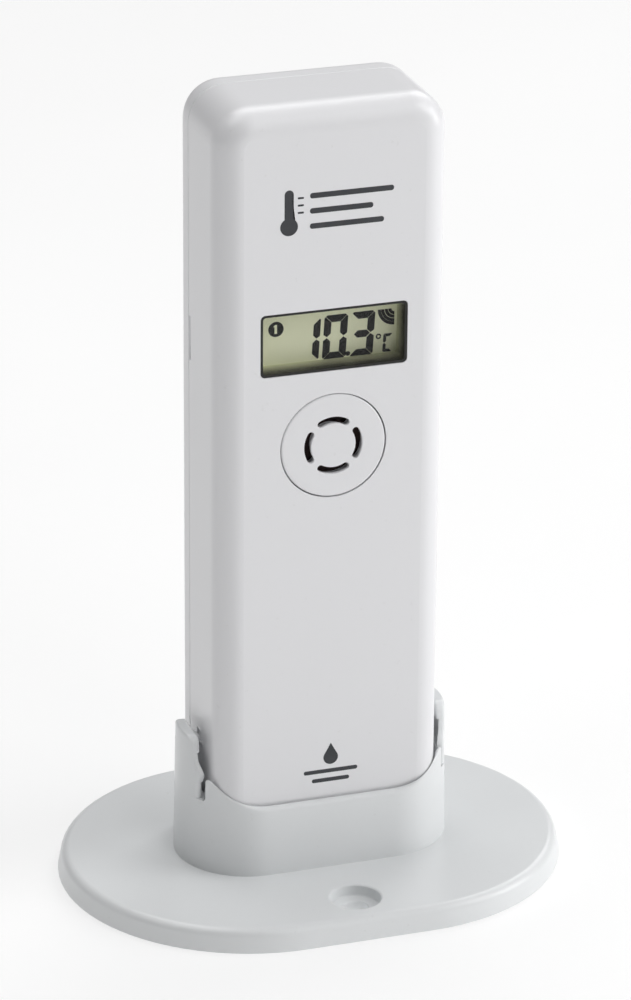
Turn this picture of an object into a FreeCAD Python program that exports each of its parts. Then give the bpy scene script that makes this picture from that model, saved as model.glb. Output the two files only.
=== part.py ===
import FreeCAD, Part
import math
import os

import Sketcher

# Wireless temperature transmitter with a display, standing in a snap-in table and wall stand.
# Millimetres. +Z is up, -Y is the display side, +X is to the right of the display.
# The origin is the centre of the stand's underside, on the surface that it stands on.

DIMENSIONS = [
    ("base_straight", 10.7, "stand plate: half length of the straight sides"),
    ("base_end_radius", 31.65, "stand plate: radius of the rounded ends"),
    ("base_thick", 3.9, "stand plate thickness"),
    ("base_draft", 12.0, "draft of the plate's side, degrees"),
    ("base_edge_radius", 1.6, "rounding of the plate's top edge"),
    ("base_rim", 2.4, "width of the rim that the plate stands on"),
    ("base_hollow", 1.9, "depth of the hollow under the plate"),
    ("socket_hollow", 4.2, "height of the deeper hollow under the socket"),
    ("screw_y", 23.6, "distance of each screw hole from the centre"),
    ("screw_hole_radius", 2.1, "screw hole radius"),
    ("screw_sink_radius", 4.1, "counterbore radius"),
    ("screw_sink_deep", 1.9, "counterbore depth"),
    ("screw_boss_radius", 5.2, "boss around each screw hole, under the plate"),
    ("collar_straight", 11.0, "socket: half length of the straight sides"),
    ("collar_end_radius", 12.1, "socket: outside radius of the ends, at the plate"),
    ("collar_draft", 1.0, "draft of the socket's outside, degrees"),
    ("collar_wide", 39.2, "socket opening width"),
    ("collar_deep", 21.7, "socket opening depth"),
    ("collar_front_corner", 5.2, "socket opening: radius of the front corners"),
    ("collar_back_corner", 3.2, "socket opening: radius of the back corners"),
    ("collar_back_wall", 1.5, "socket wall around the back corners"),
    ("collar_hollow_wall", 2.0, "socket wall around the hollow under it"),
    ("collar_back_reach", 15.0, "length of the squarer back part of the socket"),
    ("collar_floor", 6.3, "height of the socket's floor"),
    ("rim_height", 15.95, "height of the rim in the middle of the front and back"),
    ("rim_turn", 15.5, "where the rim starts to rise"),
    ("rim_turn_radius", 12.0, "rounding of that turn"),
    ("rim_end", 26.0, "end of the rising rim line, outside the socket"),
    ("rim_end_height", 26.7, "height of the rim line there"),
    ("clip_gap", 7.0, "half width of the gap that each clip arm stands in"),
    ("clip_root", 16.4, "clip arm: height of the root"),
    ("clip_stem", 5.7, "clip arm: half width of the stem"),
    ("clip_stem_top", 19.2, "clip arm: height of the stem's top"),
    ("clip_shoulder", 6.1, "clip arm: half width of the shoulder"),
    ("clip_shoulder_height", 20.3, "clip arm: height of the shoulder"),
    ("clip_waist", 4.6, "clip arm: half width above the shoulder"),
    ("clip_waist_height", 23.3, "clip arm: height where the shoulder ends"),
    ("clip_brow_height", 25.6, "clip arm: height where the top starts to narrow"),
    ("clip_crown", 3.4, "clip arm: half width of the top"),
    ("clip_top", 26.8, "clip arm: height of the top"),
    ("clip_round", 1.2, "clip arm: rounding of the brow"),
    ("clip_inside", 20.5, "clip arm: distance of the root's and head's inner face from the middle"),
    ("clip_core_low", 19.2, "clip arm: height where it becomes a thin wall"),
    ("clip_core_high", 24.1, "clip arm: height where its thicker head starts"),
    ("clip_core_radius", 10.85, "clip arm: inside radius of the thin wall"),
    ("barb_tip", 19.25, "barb: distance of the tip from the middle"),
    ("barb_root", 20.8, "barb: distance of the root from the middle, inside the head"),
    ("barb_half_width", 1.3, "barb: half width"),
    ("barb_low", 24.1, "barb: height of the catching edge"),
    ("barb_tip_low", 24.4, "barb: lower end of the tip"),
    ("barb_tip_high", 25.1, "barb: upper end of the tip"),
    ("barb_high", 26.3, "barb: height of the lead-in's top"),
    ("body_wide", 38.2, "transmitter width"),
    ("body_deep", 21.0, "transmitter depth"),
    ("body_tall", 128.0, "transmitter height"),
    ("body_bottom", 6.5, "height of the transmitter's underside in the stand"),
    ("body_corner", 6.0, "corner radius seen from the front"),
    ("front_round", 4.2, "rounding around the front face"),
    ("back_round", 2.8, "rounding around the back face"),
    ("seam_y", 5.3, "plane where the two shells meet"),
    ("seam_groove", 0.2, "bevel on each shell's outer edge at the seam"),
    ("wall", 1.8, "shell wall"),
    ("back_rim", 2.7, "side wall of the back shell"),
    ("lip_height", 1.2, "locating lip of the back shell"),
    ("lip_gap", 0.1, "gap around the locating lip"),
    ("catch_deep", 0.4, "catch recess in the side of the front shell"),
    ("catch_half_width", 1.6, "catch recess half width"),
    ("catch_low", 23.9, "catch recess, lower end"),
    ("catch_high", 25.9, "catch recess, upper end"),
    ("notch_long", 7.6, "prying notch at the seam: length"),
    ("notch_z", 92.8, "prying notch at the seam: height"),
    ("notch_deep", 0.5, "prying notch at the seam: depth"),
    ("window_wide", 24.4, "display opening width"),
    ("window_tall", 10.5, "display opening height"),
    ("window_z", 95.9, "height of the display's middle"),
    ("window_corner", 0.8, "corner radius of the display opening"),
    ("frame_lip", 0.45, "display frame: wall of the collar in the opening"),
    ("frame_gap", 0.05, "display frame: gap between the collar and the opening"),
    ("frame_set_back", 0.12, "display frame: collar, back from the front face"),
    ("frame_wall", 0.7, "display frame: wall of the box"),
    ("frame_corner", 0.5, "display frame: corner radius of the openings"),
    ("frame_wide", 27.2, "display frame: outer width"),
    ("frame_tall", 16.0, "display frame: outer height"),
    ("glass_y", -6.5, "front face of the display glass"),
    ("glass_thick", 1.9, "display glass thickness"),
    ("glass_gap", 0.1, "gap around the display glass"),
    ("pane_set_back", 0.6, "window pane, back from the front face"),
    ("pane_thick", 0.8, "window pane thickness"),
    ("pane_gap", 0.05, "gap around the window pane"),
    ("reflector_thick", 0.3, "reflector behind the glass"),
    ("strip_room", 3.2, "part of the glass left free for the contact strip"),
    ("strip_wide", 25.0, "contact strip: length"),
    ("strip_tall", 1.8, "contact strip: height"),
    ("strip_below_frame", 2.4, "contact strip: middle, below the top of the frame"),
    ("vent_z", 77.9, "height of the vent's middle"),
    ("vent_radius", 8.7, "vent disc radius"),
    ("vent_gap", 0.18, "gap around the vent disc"),
    ("vent_slot_radius", 4.3, "vent slots: mean radius"),
    ("vent_slot_wide", 1.1, "vent slots: width"),
    ("vent_slot_angle", 73.0, "vent slots: angle that each one covers, degrees"),
    ("vent_flange_radius", 9.6, "flange behind the front wall"),
    ("vent_flange_thick", 0.6, "flange thickness"),
    ("membrane_radius", 6.2, "membrane and gasket outside radius"),
    ("membrane_thick", 0.2, "membrane thickness"),
    ("gasket_inside", 4.95, "gasket inside radius"),
    ("board_y", -2.5, "front face of the circuit board"),
    ("board_thick", 1.6, "circuit board thickness"),
    ("board_wide", 32.4, "circuit board width"),
    ("board_low", 73.6, "circuit board, lower edge"),
    ("board_high", 122.8, "circuit board, upper edge"),
    ("board_hole_radius", 1.1, "circuit board: screw hole radius"),
    ("sensor_size", 5.0, "humidity sensor: side"),
    ("sensor_tall", 1.3, "humidity sensor: height"),
    ("board_post_x", 12.8, "board posts: distance from the middle"),
    ("board_post_low", 84.3, "lower board posts: height"),
    ("board_post_high", 119.6, "upper board posts: height"),
    ("board_post_radius", 2.2, "board post radius"),
    ("board_thread_radius", 0.8, "board post: screw hole radius"),
    ("board_thread_deep", 4.8, "board post: screw hole depth"),
    ("case_post_radius", 2.5, "case screw post radius"),
    ("case_thread_radius", 1.0, "case screw post: hole radius"),
    ("case_thread_deep", 7.5, "case screw post: hole depth"),
    ("case_post_top_x", 13.2, "upper case screws: distance from the middle"),
    ("case_post_top_z", 126.5, "upper case screws: height"),
    ("case_post_low_x", 11.0, "lower case screws: distance from the middle"),
    ("case_post_low_z", 12.2, "lower case screws: height"),
    ("case_boss_radius", 3.3, "screw boss in the back shell"),
    ("case_hole_radius", 1.35, "case screw hole in the back shell"),
    ("case_sink_radius", 2.8, "counterbore of the case screws"),
    ("case_sink_deep", 2.6, "counterbore depth"),
    ("case_head_radius", 2.3, "case screw: head radius"),
    ("case_head_tall", 1.7, "case screw: head height"),
    ("case_shank_radius", 1.15, "case screw: shank radius"),
    ("case_shank_long", 9.0, "case screw: shank length"),
    ("board_head_radius", 1.7, "board screw: head radius"),
    ("board_head_tall", 1.2, "board screw: head height"),
    ("board_shank_radius", 0.9, "board screw: shank radius"),
    ("board_shank_long", 6.0, "board screw: shank length"),
    ("cross_half_wide", 0.3, "screw recess: half width of each slot"),
    ("tray_wide", 30.8, "battery tray: inside width"),
    ("tray_low", 15.8, "battery tray: inside, lower end"),
    ("tray_high", 70.4, "battery tray: inside, upper end"),
    ("tray_floor", -6.6, "battery tray: inner face of the floor"),
    ("tray_wall", 1.0, "battery tray wall"),
    ("tray_round", 3.5, "battery tray: rounding of the long inner corners"),
    ("door_wide", 31.2, "battery opening width"),
    ("door_low", 17.0, "battery opening, lower edge"),
    ("door_high", 84.6, "battery opening, upper edge"),
    ("shelf_y", 5.6, "ledge that the cover closes over"),
    ("shelf_wall", 1.2, "thickness of the ledge and its walls"),
    ("cover_gap", 0.2, "gap around the battery cover"),
    ("cover_thick", 1.6, "battery cover thickness"),
    ("cover_edge_round", 0.75, "rounding of the cover's lower edge"),
    ("cover_corner", 1.2, "rounding of the cover's upper corners"),
    ("cover_below_hinge", 0.8, "battery cover, below the hinge axis"),
    ("stiffener_x", 9.0, "cover stiffener: distance from the middle"),
    ("stiffener_half_wide", 0.5, "cover stiffener: half width"),
    ("stiffener_low", 24.0, "cover stiffener: lower end"),
    ("stiffener_high", 66.0, "cover stiffener: upper end"),
    ("stiffener_tall", 0.5, "cover stiffener: height"),
    ("hinge_y", 9.6, "cover hinge axis, depth"),
    ("hinge_z", 18.4, "cover hinge axis, height"),
    ("hinge_pin_radius", 0.6, "cover hinge pin radius"),
    ("hinge_pin_long", 0.8, "cover hinge pin length"),
    ("hinge_hole_radius", 0.66, "hinge hole radius"),
    ("hinge_end_gap", 0.15, "gap at the end of each hinge pin"),
    ("grip_z", 77.5, "finger grip on the cover: height of its middle"),
    ("grip_straight", 4.5, "finger grip: half length of the straight sides"),
    ("grip_radius", 4.0, "finger grip: radius of the ends"),
    ("grip_deep", 0.7, "finger grip: depth"),
    ("grip_rib_reach", 5.0, "finger grip: half length of each rib"),
    ("grip_rib_half_wide", 0.35, "finger grip: half width of each rib"),
    ("grip_rib_step", 2.0, "finger grip: distance between ribs"),
    ("grip_rib_set_back", 0.1, "finger grip: ribs, back from the cover's face"),
    ("cell_radius", 7.1, "battery radius"),
    ("cell_long", 49.5, "battery length without the button"),
    ("cell_nub_radius", 2.7, "battery button radius"),
    ("cell_nub_long", 1.0, "battery button length"),
    ("cell_x", 7.45, "battery axis: distance from the middle"),
    ("cell_y", 1.0, "battery axis: depth"),
    ("contact_thick", 0.3, "contact plate thickness"),
    ("contact_size", 11.6, "contact plate: side"),
    ("contact_gap", 0.2, "contact plate: gap to the ledge"),
    ("spring_wire", 0.4, "battery spring: wire radius"),
    ("spring_radius", 3.2, "battery spring: radius of the coil"),
    ("antenna_wire", 0.5, "antenna: wire radius"),
    ("antenna_reach", 13.0, "antenna: distance of the upright runs from the middle"),
    ("antenna_low", 97.0, "antenna: height of the foot"),
    ("antenna_high", 121.0, "antenna: height of the run across"),
    ("antenna_stand_off", 4.4, "antenna: distance from the board"),
    ("button_z", 78.5, "button and switch: height"),
    ("button_radius", 1.7, "button stem radius"),
    ("button_hole_radius", 1.9, "button hole radius"),
    ("button_low", 2.2, "inner end of the button stem"),
    ("button_high", 6.9, "outer end of the button stem"),
    ("button_flange_radius", 2.6, "button flange radius"),
    ("button_flange_low", 3.6, "button flange, inner face"),
    ("button_flange_thick", 0.7, "button flange thickness"),
    ("switch_size", 6.0, "switch: side"),
    ("switch_tall", 3.6, "switch: height above the board"),
    ("switch_bore_deep", 1.7, "switch: depth of the bore for the stem"),
    ("keyhole_z", 111.0, "hanging keyhole: height of the round part"),
    ("keyhole_radius", 3.6, "hanging keyhole: round part"),
    ("keyhole_slot_radius", 1.9, "hanging keyhole: half width of the slot"),
    ("keyhole_slot_long", 7.0, "hanging keyhole: length of the slot"),
    ("keyhole_deep", 3.0, "hanging keyhole: depth"),
    ("keyhole_boss_radius", 6.4, "boss behind the keyhole"),
    ("keyhole_boss_rise", 1.5, "boss behind the keyhole: middle, above the round part"),
    ("keyhole_floor", 1.0, "boss behind the keyhole: floor"),
]

# Parts on the back of the board: name, x from and to, z from and to, height.
BLOCK_PARTS = [
    ("controller_chip", (-10, -1), (95, 104), 1.4),
    ("radio_card", (-10, 5), (107, 120), 0.8),
    ("radio_shield", (-8, 3), (109, 118), 2.6),
]
CAPACITOR_PLACES = [(-10, 90), (9, 93)]
CAPACITOR_RADIUS = 2.5
CAPACITOR_TALL = 5.0
CRYSTAL_RADIUS = 1.0
CRYSTAL_LONG = 6.0
CRYSTAL_PLACE = (4.0, 88.0)

LONG_CUT = 200.0  # a cut that goes right through
OVERHANG = 1.0  # how far a cutting shape stands out of the face it cuts
BITE = 0.3  # how far a rib or a post runs into the wall it stands on
CROSS_REACH = 0.65  # screw recess: half length, as a part of the head's radius
CROSS_FLOOR = 0.45  # screw recess: floor, as a part of the head's height
SPRING_TURNS = 5
NORMAL_SIGN = {"XY_Plane": 1, "XZ_Plane": -1, "YZ_Plane": 1}

doc = FreeCAD.newDocument("transmitter")
sheet = doc.addObject("Spreadsheet::Sheet", "Dims")


class Size:
    """A number together with the sheet expression that it comes from."""

    def __init__(self, value, text):
        self.value = value
        self.text = text

    def __add__(self, other):
        other = size(other)
        return Size(self.value + other.value, f"({self.text} + {other.text})")

    def __sub__(self, other):
        other = size(other)
        return Size(self.value - other.value, f"({self.text} - {other.text})")

    def __rsub__(self, other):
        return size(other) - self

    def __mul__(self, factor):
        return Size(self.value * factor, f"({self.text} * {factor})")

    def __neg__(self):
        return self * -1

    __radd__ = __add__
    __rmul__ = __mul__


def size(number):
    """Turn a plain number into a Size, and leave a Size as it is."""
    if isinstance(number, Size):
        return number
    return Size(float(number), f"({float(number)})")


class Dimensions:
    """The driving dimensions by name, each as a Size."""


def fill_sheet():
    """Write the dimensions to the sheet and return them by name."""
    dims = Dimensions()
    for row, (alias, value, meaning) in enumerate(DIMENSIONS, start=1):
        sheet.set(f"A{row}", meaning)
        sheet.set(f"B{row}", str(value))
        sheet.setAlias(f"B{row}", alias)
        setattr(dims, alias, Size(value, f"Dims.{alias}"))
    doc.recompute()
    return dims


d = fill_sheet()
half_wide = d.body_wide * 0.5
half_deep = d.body_deep * 0.5
body_middle = d.body_bottom + d.body_tall * 0.5
front_inside = d.wall - half_deep
back_inside = half_deep - d.wall
board_back = d.board_y + d.board_thick
ZERO = size(0.0)


def bind(thing, **values):
    """Bind properties of an object to sizes."""
    for name, value in values.items():
        thing.setExpression(name.replace("__", "."), size(value).text)


def place(thing, x=ZERO, y=ZERO, z=ZERO, turn=None):
    """Place an object; turn is a FreeCAD rotation."""
    thing.Placement = FreeCAD.Placement(FreeCAD.Vector(), turn or FreeCAD.Rotation())
    bind(thing, Placement__Base__x=x, Placement__Base__y=y, Placement__Base__z=z)


# Sketches ------------------------------------------------------------------------------------

def new_body(label):
    body = doc.addObject("PartDesign::Body", label)
    body.Label = label
    return body


def new_sketch(body, name, role, level=ZERO, across=ZERO, up=ZERO):
    """A sketch on one of the body's planes, at a level along the plane's axis."""
    plane = next(item for item in body.Origin.OriginFeatures if item.Role == role)
    sketch = body.newObject("Sketcher::SketchObject", f"{body.Name}_{name}")
    sketch.AttachmentSupport = [(plane, "")]
    sketch.MapMode = "FlatFace"
    bind(
        sketch,
        AttachmentOffset__Base__x=across,
        AttachmentOffset__Base__y=up,
        AttachmentOffset__Base__z=size(level) * NORMAL_SIGN[role],
    )
    return sketch


def drive(sketch, kind, *where, value):
    """Add a dimension to a sketch and bind it."""
    value = size(value)
    index = sketch.addConstraint(Sketcher.Constraint(kind, *where, value.value))
    sketch.setExpression(f"Constraints[{index}]", value.text)


def line(sketch, start, end):
    return sketch.addGeometry(Part.LineSegment(FreeCAD.Vector(*start, 0), FreeCAD.Vector(*end, 0)))


def arc(sketch, centre, radius, degrees):
    """An arc between two angles; the caller adds the constraints."""
    first, last = [math.radians(angle) for angle in degrees]
    circle = Part.Circle(FreeCAD.Vector(*centre, 0), FreeCAD.Vector(0, 0, 1), radius)
    return sketch.addGeometry(Part.ArcOfCircle(circle, first, last))


def outline(sketch, points):
    """A closed outline through points, each one driven by its two coordinates."""
    points = [(size(x), size(y)) for x, y in points]
    plain = [(x.value, y.value) for x, y in points]
    lines = [line(sketch, plain[i], plain[(i + 1) % len(plain)]) for i in range(len(plain))]
    for i, (x, y) in enumerate(points):
        sketch.addConstraint(Sketcher.Constraint("Coincident", lines[i - 1], 2, lines[i], 1))
        drive(sketch, "DistanceX", -1, 1, lines[i], 1, value=x)
        drive(sketch, "DistanceY", -1, 1, lines[i], 1, value=y)
    return sketch


def rectangle(sketch, left, low, right, high):
    return outline(sketch, [(left, low), (right, low), (right, high), (left, high)])


def rounded_rectangle(sketch, width, height, radius):
    """A rectangle with rounded corners about the sketch's origin."""
    width, height, radius = size(width), size(height), size(radius)
    x, y, r = width.value / 2, height.value / 2, radius.value
    bottom = line(sketch, (r - x, -y), (x - r, -y))
    right = line(sketch, (x, r - y), (x, y - r))
    top = line(sketch, (x - r, y), (r - x, y))
    left = line(sketch, (-x, y - r), (-x, r - y))
    corners = [
        arc(sketch, (x - r, r - y), r, (270, 360)),
        arc(sketch, (x - r, y - r), r, (0, 90)),
        arc(sketch, (r - x, y - r), r, (90, 180)),
        arc(sketch, (r - x, r - y), r, (180, 270)),
    ]
    sides = [bottom, right, top, left]
    for i, corner in enumerate(corners):
        sketch.addConstraint(Sketcher.Constraint("Tangent", sides[i], 2, corner, 1))
        sketch.addConstraint(Sketcher.Constraint("Tangent", corner, 2, sides[(i + 1) % 4], 1))
    for corner in corners[1:]:
        sketch.addConstraint(Sketcher.Constraint("Equal", corners[0], corner))
    sketch.addConstraint(Sketcher.Constraint("Symmetric", bottom, 1, bottom, 2, -2))
    sketch.addConstraint(Sketcher.Constraint("Symmetric", right, 1, right, 2, -1))
    drive(sketch, "DistanceX", left, 1, right, 1, value=width)
    drive(sketch, "DistanceY", bottom, 1, top, 1, value=height)
    drive(sketch, "Radius", corners[0], value=radius)
    return sketch


def stadium(sketch, straight, radius):
    """Two straight sides joined by half circles, about the sketch's origin."""
    straight, radius = size(straight), size(radius)
    x, r = straight.value, radius.value
    bottom = line(sketch, (-x, -r), (x, -r))
    right = arc(sketch, (x, 0), r, (270, 450))
    top = line(sketch, (x, r), (-x, r))
    left = arc(sketch, (-x, 0), r, (90, 270))
    chain = [bottom, right, top, left]
    for first, second in zip(chain, chain[1:] + chain[:1]):
        sketch.addConstraint(Sketcher.Constraint("Tangent", first, 2, second, 1))
    sketch.addConstraint(Sketcher.Constraint("Symmetric", bottom, 1, bottom, 2, -2))
    sketch.addConstraint(Sketcher.Constraint("PointOnObject", right, 3, -1))
    sketch.addConstraint(Sketcher.Constraint("Equal", right, left))
    drive(sketch, "DistanceX", bottom, 1, bottom, 2, value=straight * 2)
    drive(sketch, "Radius", right, value=radius)
    return sketch


def circles(sketch, radius, centres):
    """Circles of one size, each with its centre driven."""
    radius = size(radius)
    for x, y in centres:
        x, y = size(x), size(y)
        circle = Part.Circle(FreeCAD.Vector(x.value, y.value, 0), FreeCAD.Vector(0, 0, 1), radius.value)
        index = sketch.addGeometry(circle)
        drive(sketch, "Radius", index, value=radius)
        drive(sketch, "DistanceX", -1, 1, index, 3, value=x)
        drive(sketch, "DistanceY", -1, 1, index, 3, value=y)
    return sketch


# Features ------------------------------------------------------------------------------------

def normal_sign(sketch):
    return NORMAL_SIGN[sketch.AttachmentSupport[0][0].Role]


def extrude(body, kind, sketch, length, toward, taper):
    feature = body.newObject(f"PartDesign::{kind}", f"{sketch.Name}_{kind.lower()}")
    feature.Profile = sketch
    along_normal = toward == normal_sign(sketch)
    feature.Reversed = along_normal if kind == "Pocket" else not along_normal
    bind(feature, Length=length)
    if taper is not None:
        bind(feature, TaperAngle=taper)
    sketch.Visibility = False
    doc.recompute()
    return feature


def pad(body, sketch, length, toward, taper=None):
    """Add material from the sketch's plane, toward +1 or -1 along the plane's axis."""
    return extrude(body, "Pad", sketch, length, toward, taper)


def pocket(body, sketch, length, toward):
    """Remove material from the sketch's plane, and make sure that some went."""
    before = body.Shape.Volume
    feature = extrude(body, "Pocket", sketch, length, toward, None)
    if not body.Shape.Volume < before:
        raise ValueError(f"{feature.Name} cuts nothing")
    return feature


def cut_through(body, sketch):
    """Remove material both ways from the sketch's plane."""
    before = body.Shape.Volume
    feature = extrude(body, "Pocket", sketch, LONG_CUT, 1, None)
    feature.SideType = "Symmetric"
    doc.recompute()
    if not body.Shape.Volume < before:
        raise ValueError(f"{feature.Name} cuts nothing")
    return feature


def cut_with(body, tool):
    """Remove the shape of another body."""
    before = body.Shape.Volume
    feature = body.newObject("PartDesign::Boolean", f"{body.Name}_less_{tool.Name}")
    feature.Type = "Cut"
    feature.Group = [tool]
    doc.recompute()
    if not body.Shape.Volume < before:
        raise ValueError(f"{feature.Name} cuts nothing")
    return feature


def dress_edges(body, kind, name, wanted):
    """Add a fillet or a chamfer to the edges of the body's tip that a test picks out."""
    base = body.Tip
    names = [f"Edge{i}" for i, edge in enumerate(base.Shape.Edges, start=1) if wanted(edge)]
    if not names:
        raise ValueError(f"{name} finds no edge")
    feature = body.newObject(f"PartDesign::{kind}", f"{body.Name}_{name}")
    feature.Base = (base, names)
    return feature


def fillet(body, name, radius, wanted):
    bind(dress_edges(body, "Fillet", name, wanted), Radius=radius)
    doc.recompute()


def bevel(body, name, amount, wanted):
    bind(dress_edges(body, "Chamfer", name, wanted), Size=amount)
    doc.recompute()


def flat_at(axis, level, margin=0.01):
    """A test for edges that lie in one plane."""
    plain = size(level).value

    def test(edge):
        box = edge.BoundBox
        low = getattr(box, f"{axis}Min")
        high = getattr(box, f"{axis}Max")
        return abs(low - plain) < margin and abs(high - plain) < margin

    return test


# Solids --------------------------------------------------------------------------------------

TO_MINUS_Y = FreeCAD.Rotation(FreeCAD.Vector(1, 0, 0), 90)
TO_PLUS_Y = FreeCAD.Rotation(FreeCAD.Vector(1, 0, 0), -90)
TO_PLUS_X = FreeCAD.Rotation(FreeCAD.Vector(0, 1, 0), 90)


def block(name, x, y, z):
    """A box between pairs of coordinates."""
    solid = doc.addObject("Part::Box", name)
    (x0, x1), (y0, y1), (z0, z1) = [[size(end) for end in pair] for pair in (x, y, z)]
    bind(solid, Length=x1 - x0, Width=y1 - y0, Height=z1 - z0)
    place(solid, x0, y0, z0)
    return solid


def rod(name, radius, length, x=ZERO, y=ZERO, z=ZERO, turn=None):
    """A cylinder from a point, along +Z unless it is turned."""
    solid = doc.addObject("Part::Cylinder", name)
    bind(solid, Radius=radius, Height=length)
    place(solid, x, y, z, turn)
    return solid


def join(name, *solids):
    fused = doc.addObject("Part::MultiFuse", name)
    fused.Shapes = list(solids)
    fused.Refine = True
    return fused


def subtract(name, base, tool):
    cut = doc.addObject("Part::Cut", name)
    cut.Base = base
    cut.Tool = tool
    return cut


def group(name, solids):
    """Separate solids in one node."""
    together = doc.addObject("Part::Compound", name)
    together.Links = list(solids)
    return together


# Stand ---------------------------------------------------------------------------------------

def rim_line():
    """The outline that the front and back walls of the socket are cut to, from the front."""
    over = d.clip_top + 10
    right = [(d.rim_turn, d.rim_height), (d.rim_end, d.rim_end_height), (d.rim_end, over)]
    return [(-x, y) for x, y in reversed(right)] + right


def back_part(body, name, level, wall, corner):
    """The squarer back part of the socket, in plan, with a wall around it."""
    middle = (d.collar_deep - d.collar_back_reach) * 0.5
    sketch = new_sketch(body, name, "XY_Plane", level=level, up=middle)
    wide = d.collar_wide + wall * 2
    return rounded_rectangle(sketch, wide, d.collar_back_reach + wall * 2, corner + wall)


def add_collar(body):
    """The drafted outside of the socket: round ends in front, squarer corners at the back."""
    tall = d.clip_top - d.base_thick
    sketch = new_sketch(body, "collar", "XY_Plane", level=d.base_thick)
    pad(body, stadium(sketch, d.collar_straight, d.collar_end_radius), tall, 1, -d.collar_draft)
    wall = d.collar_back_wall
    sketch = back_part(body, "collar_back", d.base_thick, wall, d.collar_back_corner)
    pad(body, sketch, tall, 1, -d.collar_draft)


def make_rim_cutter():
    """The space above the rim of the socket, right through from front to back."""
    body = new_body("rim_cutter")
    sketch = outline(new_sketch(body, "profile", "XZ_Plane", level=-LONG_CUT / 2), rim_line())
    pad(body, sketch, LONG_CUT, 1)

    def at_turn(edge):
        middle = edge.CenterOfMass
        at_corner = abs(abs(middle.x) - d.rim_turn.value) < 0.01
        return at_corner and abs(middle.z - d.rim_height.value) < 0.01

    fillet(body, "turns", d.rim_turn_radius, at_turn)
    return body


def make_stand():
    rim_cutter = make_rim_cutter()
    body = new_body("stand")
    sketch = stadium(new_sketch(body, "plate", "XY_Plane"), d.base_straight, d.base_end_radius)
    pad(body, sketch, d.base_thick, 1, taper=-d.base_draft)
    fillet(body, "plate_edge", d.base_edge_radius, flat_at("Z", d.base_thick))

    add_collar(body)
    sketch = new_sketch(body, "socket", "XY_Plane", level=d.collar_floor)
    rounded_rectangle(sketch, d.collar_wide, d.collar_deep, d.collar_front_corner)
    pocket(body, sketch, LONG_CUT, 1)
    sketch = back_part(body, "socket_back", d.collar_floor, ZERO, d.collar_back_corner)
    pocket(body, sketch, LONG_CUT, 1)
    cut_with(body, rim_cutter)
    sketch = new_sketch(body, "clip_gap", "YZ_Plane")
    rectangle(sketch, -d.clip_gap, d.clip_root, d.clip_gap, d.clip_top + 10)
    cut_through(body, sketch)

    sketch = new_sketch(body, "hollow", "XY_Plane")
    stadium(sketch, d.base_straight, d.base_end_radius - d.base_rim)
    circles(sketch, d.screw_boss_radius, [(0, -d.screw_y), (0, d.screw_y)])
    pocket(body, sketch, d.base_hollow, 1)
    sketch = new_sketch(body, "under_socket", "XY_Plane")
    around = d.collar_hollow_wall * 2
    rounded_rectangle(sketch, d.collar_wide - around, d.collar_deep - around, d.collar_front_corner)
    pocket(body, sketch, d.socket_hollow, 1)
    centres = [(0, -d.screw_y), (0, d.screw_y)]
    sketch = circles(new_sketch(body, "screw_holes", "XY_Plane"), d.screw_hole_radius, centres)
    cut_through(body, sketch)
    sketch = new_sketch(body, "screw_sinks", "XY_Plane", level=d.base_thick)
    pocket(body, circles(sketch, d.screw_sink_radius, centres), d.screw_sink_deep, -1)
    return body


def make_collar_form():
    """The outside of the socket as a whole, which the clip arms are cut from."""
    body = new_body("collar_form")
    add_collar(body)
    return body


def make_clip_core():
    """The space inside the thin walls of the clip arms, below their heads."""
    body = new_body("clip_core")
    sketch = new_sketch(body, "core", "XY_Plane", level=d.clip_core_low)
    stadium(sketch, d.collar_straight, d.clip_core_radius)
    pad(body, sketch, d.clip_core_high - d.clip_core_low, 1, -d.collar_draft)
    return body


def make_clip_arm(label, side, collar_form, clip_core):
    """A springy arm at one end of the socket, with a barb on its inner face."""
    blank = new_body(f"{label}_blank")
    right = [
        (d.clip_stem, d.clip_root),
        (d.clip_stem, d.clip_stem_top),
        (d.clip_shoulder, d.clip_shoulder_height),
        (d.clip_waist, d.clip_waist_height),
        (d.clip_waist, d.clip_brow_height),
        (d.clip_crown, d.clip_top),
    ]
    left = [(-y, z) for y, z in reversed(right)]
    sketch = new_sketch(blank, "profile", "YZ_Plane", level=d.clip_inside * side)
    pad(blank, outline(sketch, right + left), d.collar_end_radius, side)

    def at_brow(edge):
        middle = edge.CenterOfMass
        return abs(middle.z - d.clip_brow_height.value) < 0.01 and edge.Length > 5

    fillet(blank, "brow", d.clip_round, at_brow)
    solid = doc.addObject("Part::MultiCommon", f"{label}_solid")
    solid.Shapes = [blank, collar_form]
    arm = subtract(f"{label}_arm", solid, clip_core)

    barb = new_body(f"{label}_barb")
    points = [
        (d.barb_root * side, d.barb_low),
        (d.barb_tip * side, d.barb_tip_low),
        (d.barb_tip * side, d.barb_tip_high),
        (d.barb_root * side, d.barb_high),
    ]
    sketch = outline(new_sketch(barb, "profile", "XZ_Plane", level=-d.barb_half_width), points)
    pad(barb, sketch, d.barb_half_width * 2, 1)
    return join(label, arm, barb)


# Transmitter case ----------------------------------------------------------------------------

def case_screw_places():
    places = []
    for side in (-1, 1):
        places.append((d.case_post_low_x * side, d.case_post_low_z))
        places.append((d.case_post_top_x * side, d.case_post_top_z))
    return places


def board_screw_places():
    heights = (d.board_post_low, d.board_post_high)
    return [(d.board_post_x * side, height) for side in (-1, 1) for height in heights]


def case_outline(body, name, level, inset, corner):
    sketch = new_sketch(body, name, "XZ_Plane", level=level, up=body_middle)
    rounded_rectangle(sketch, d.body_wide - inset * 2, d.body_tall - inset * 2, corner)
    return sketch


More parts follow.
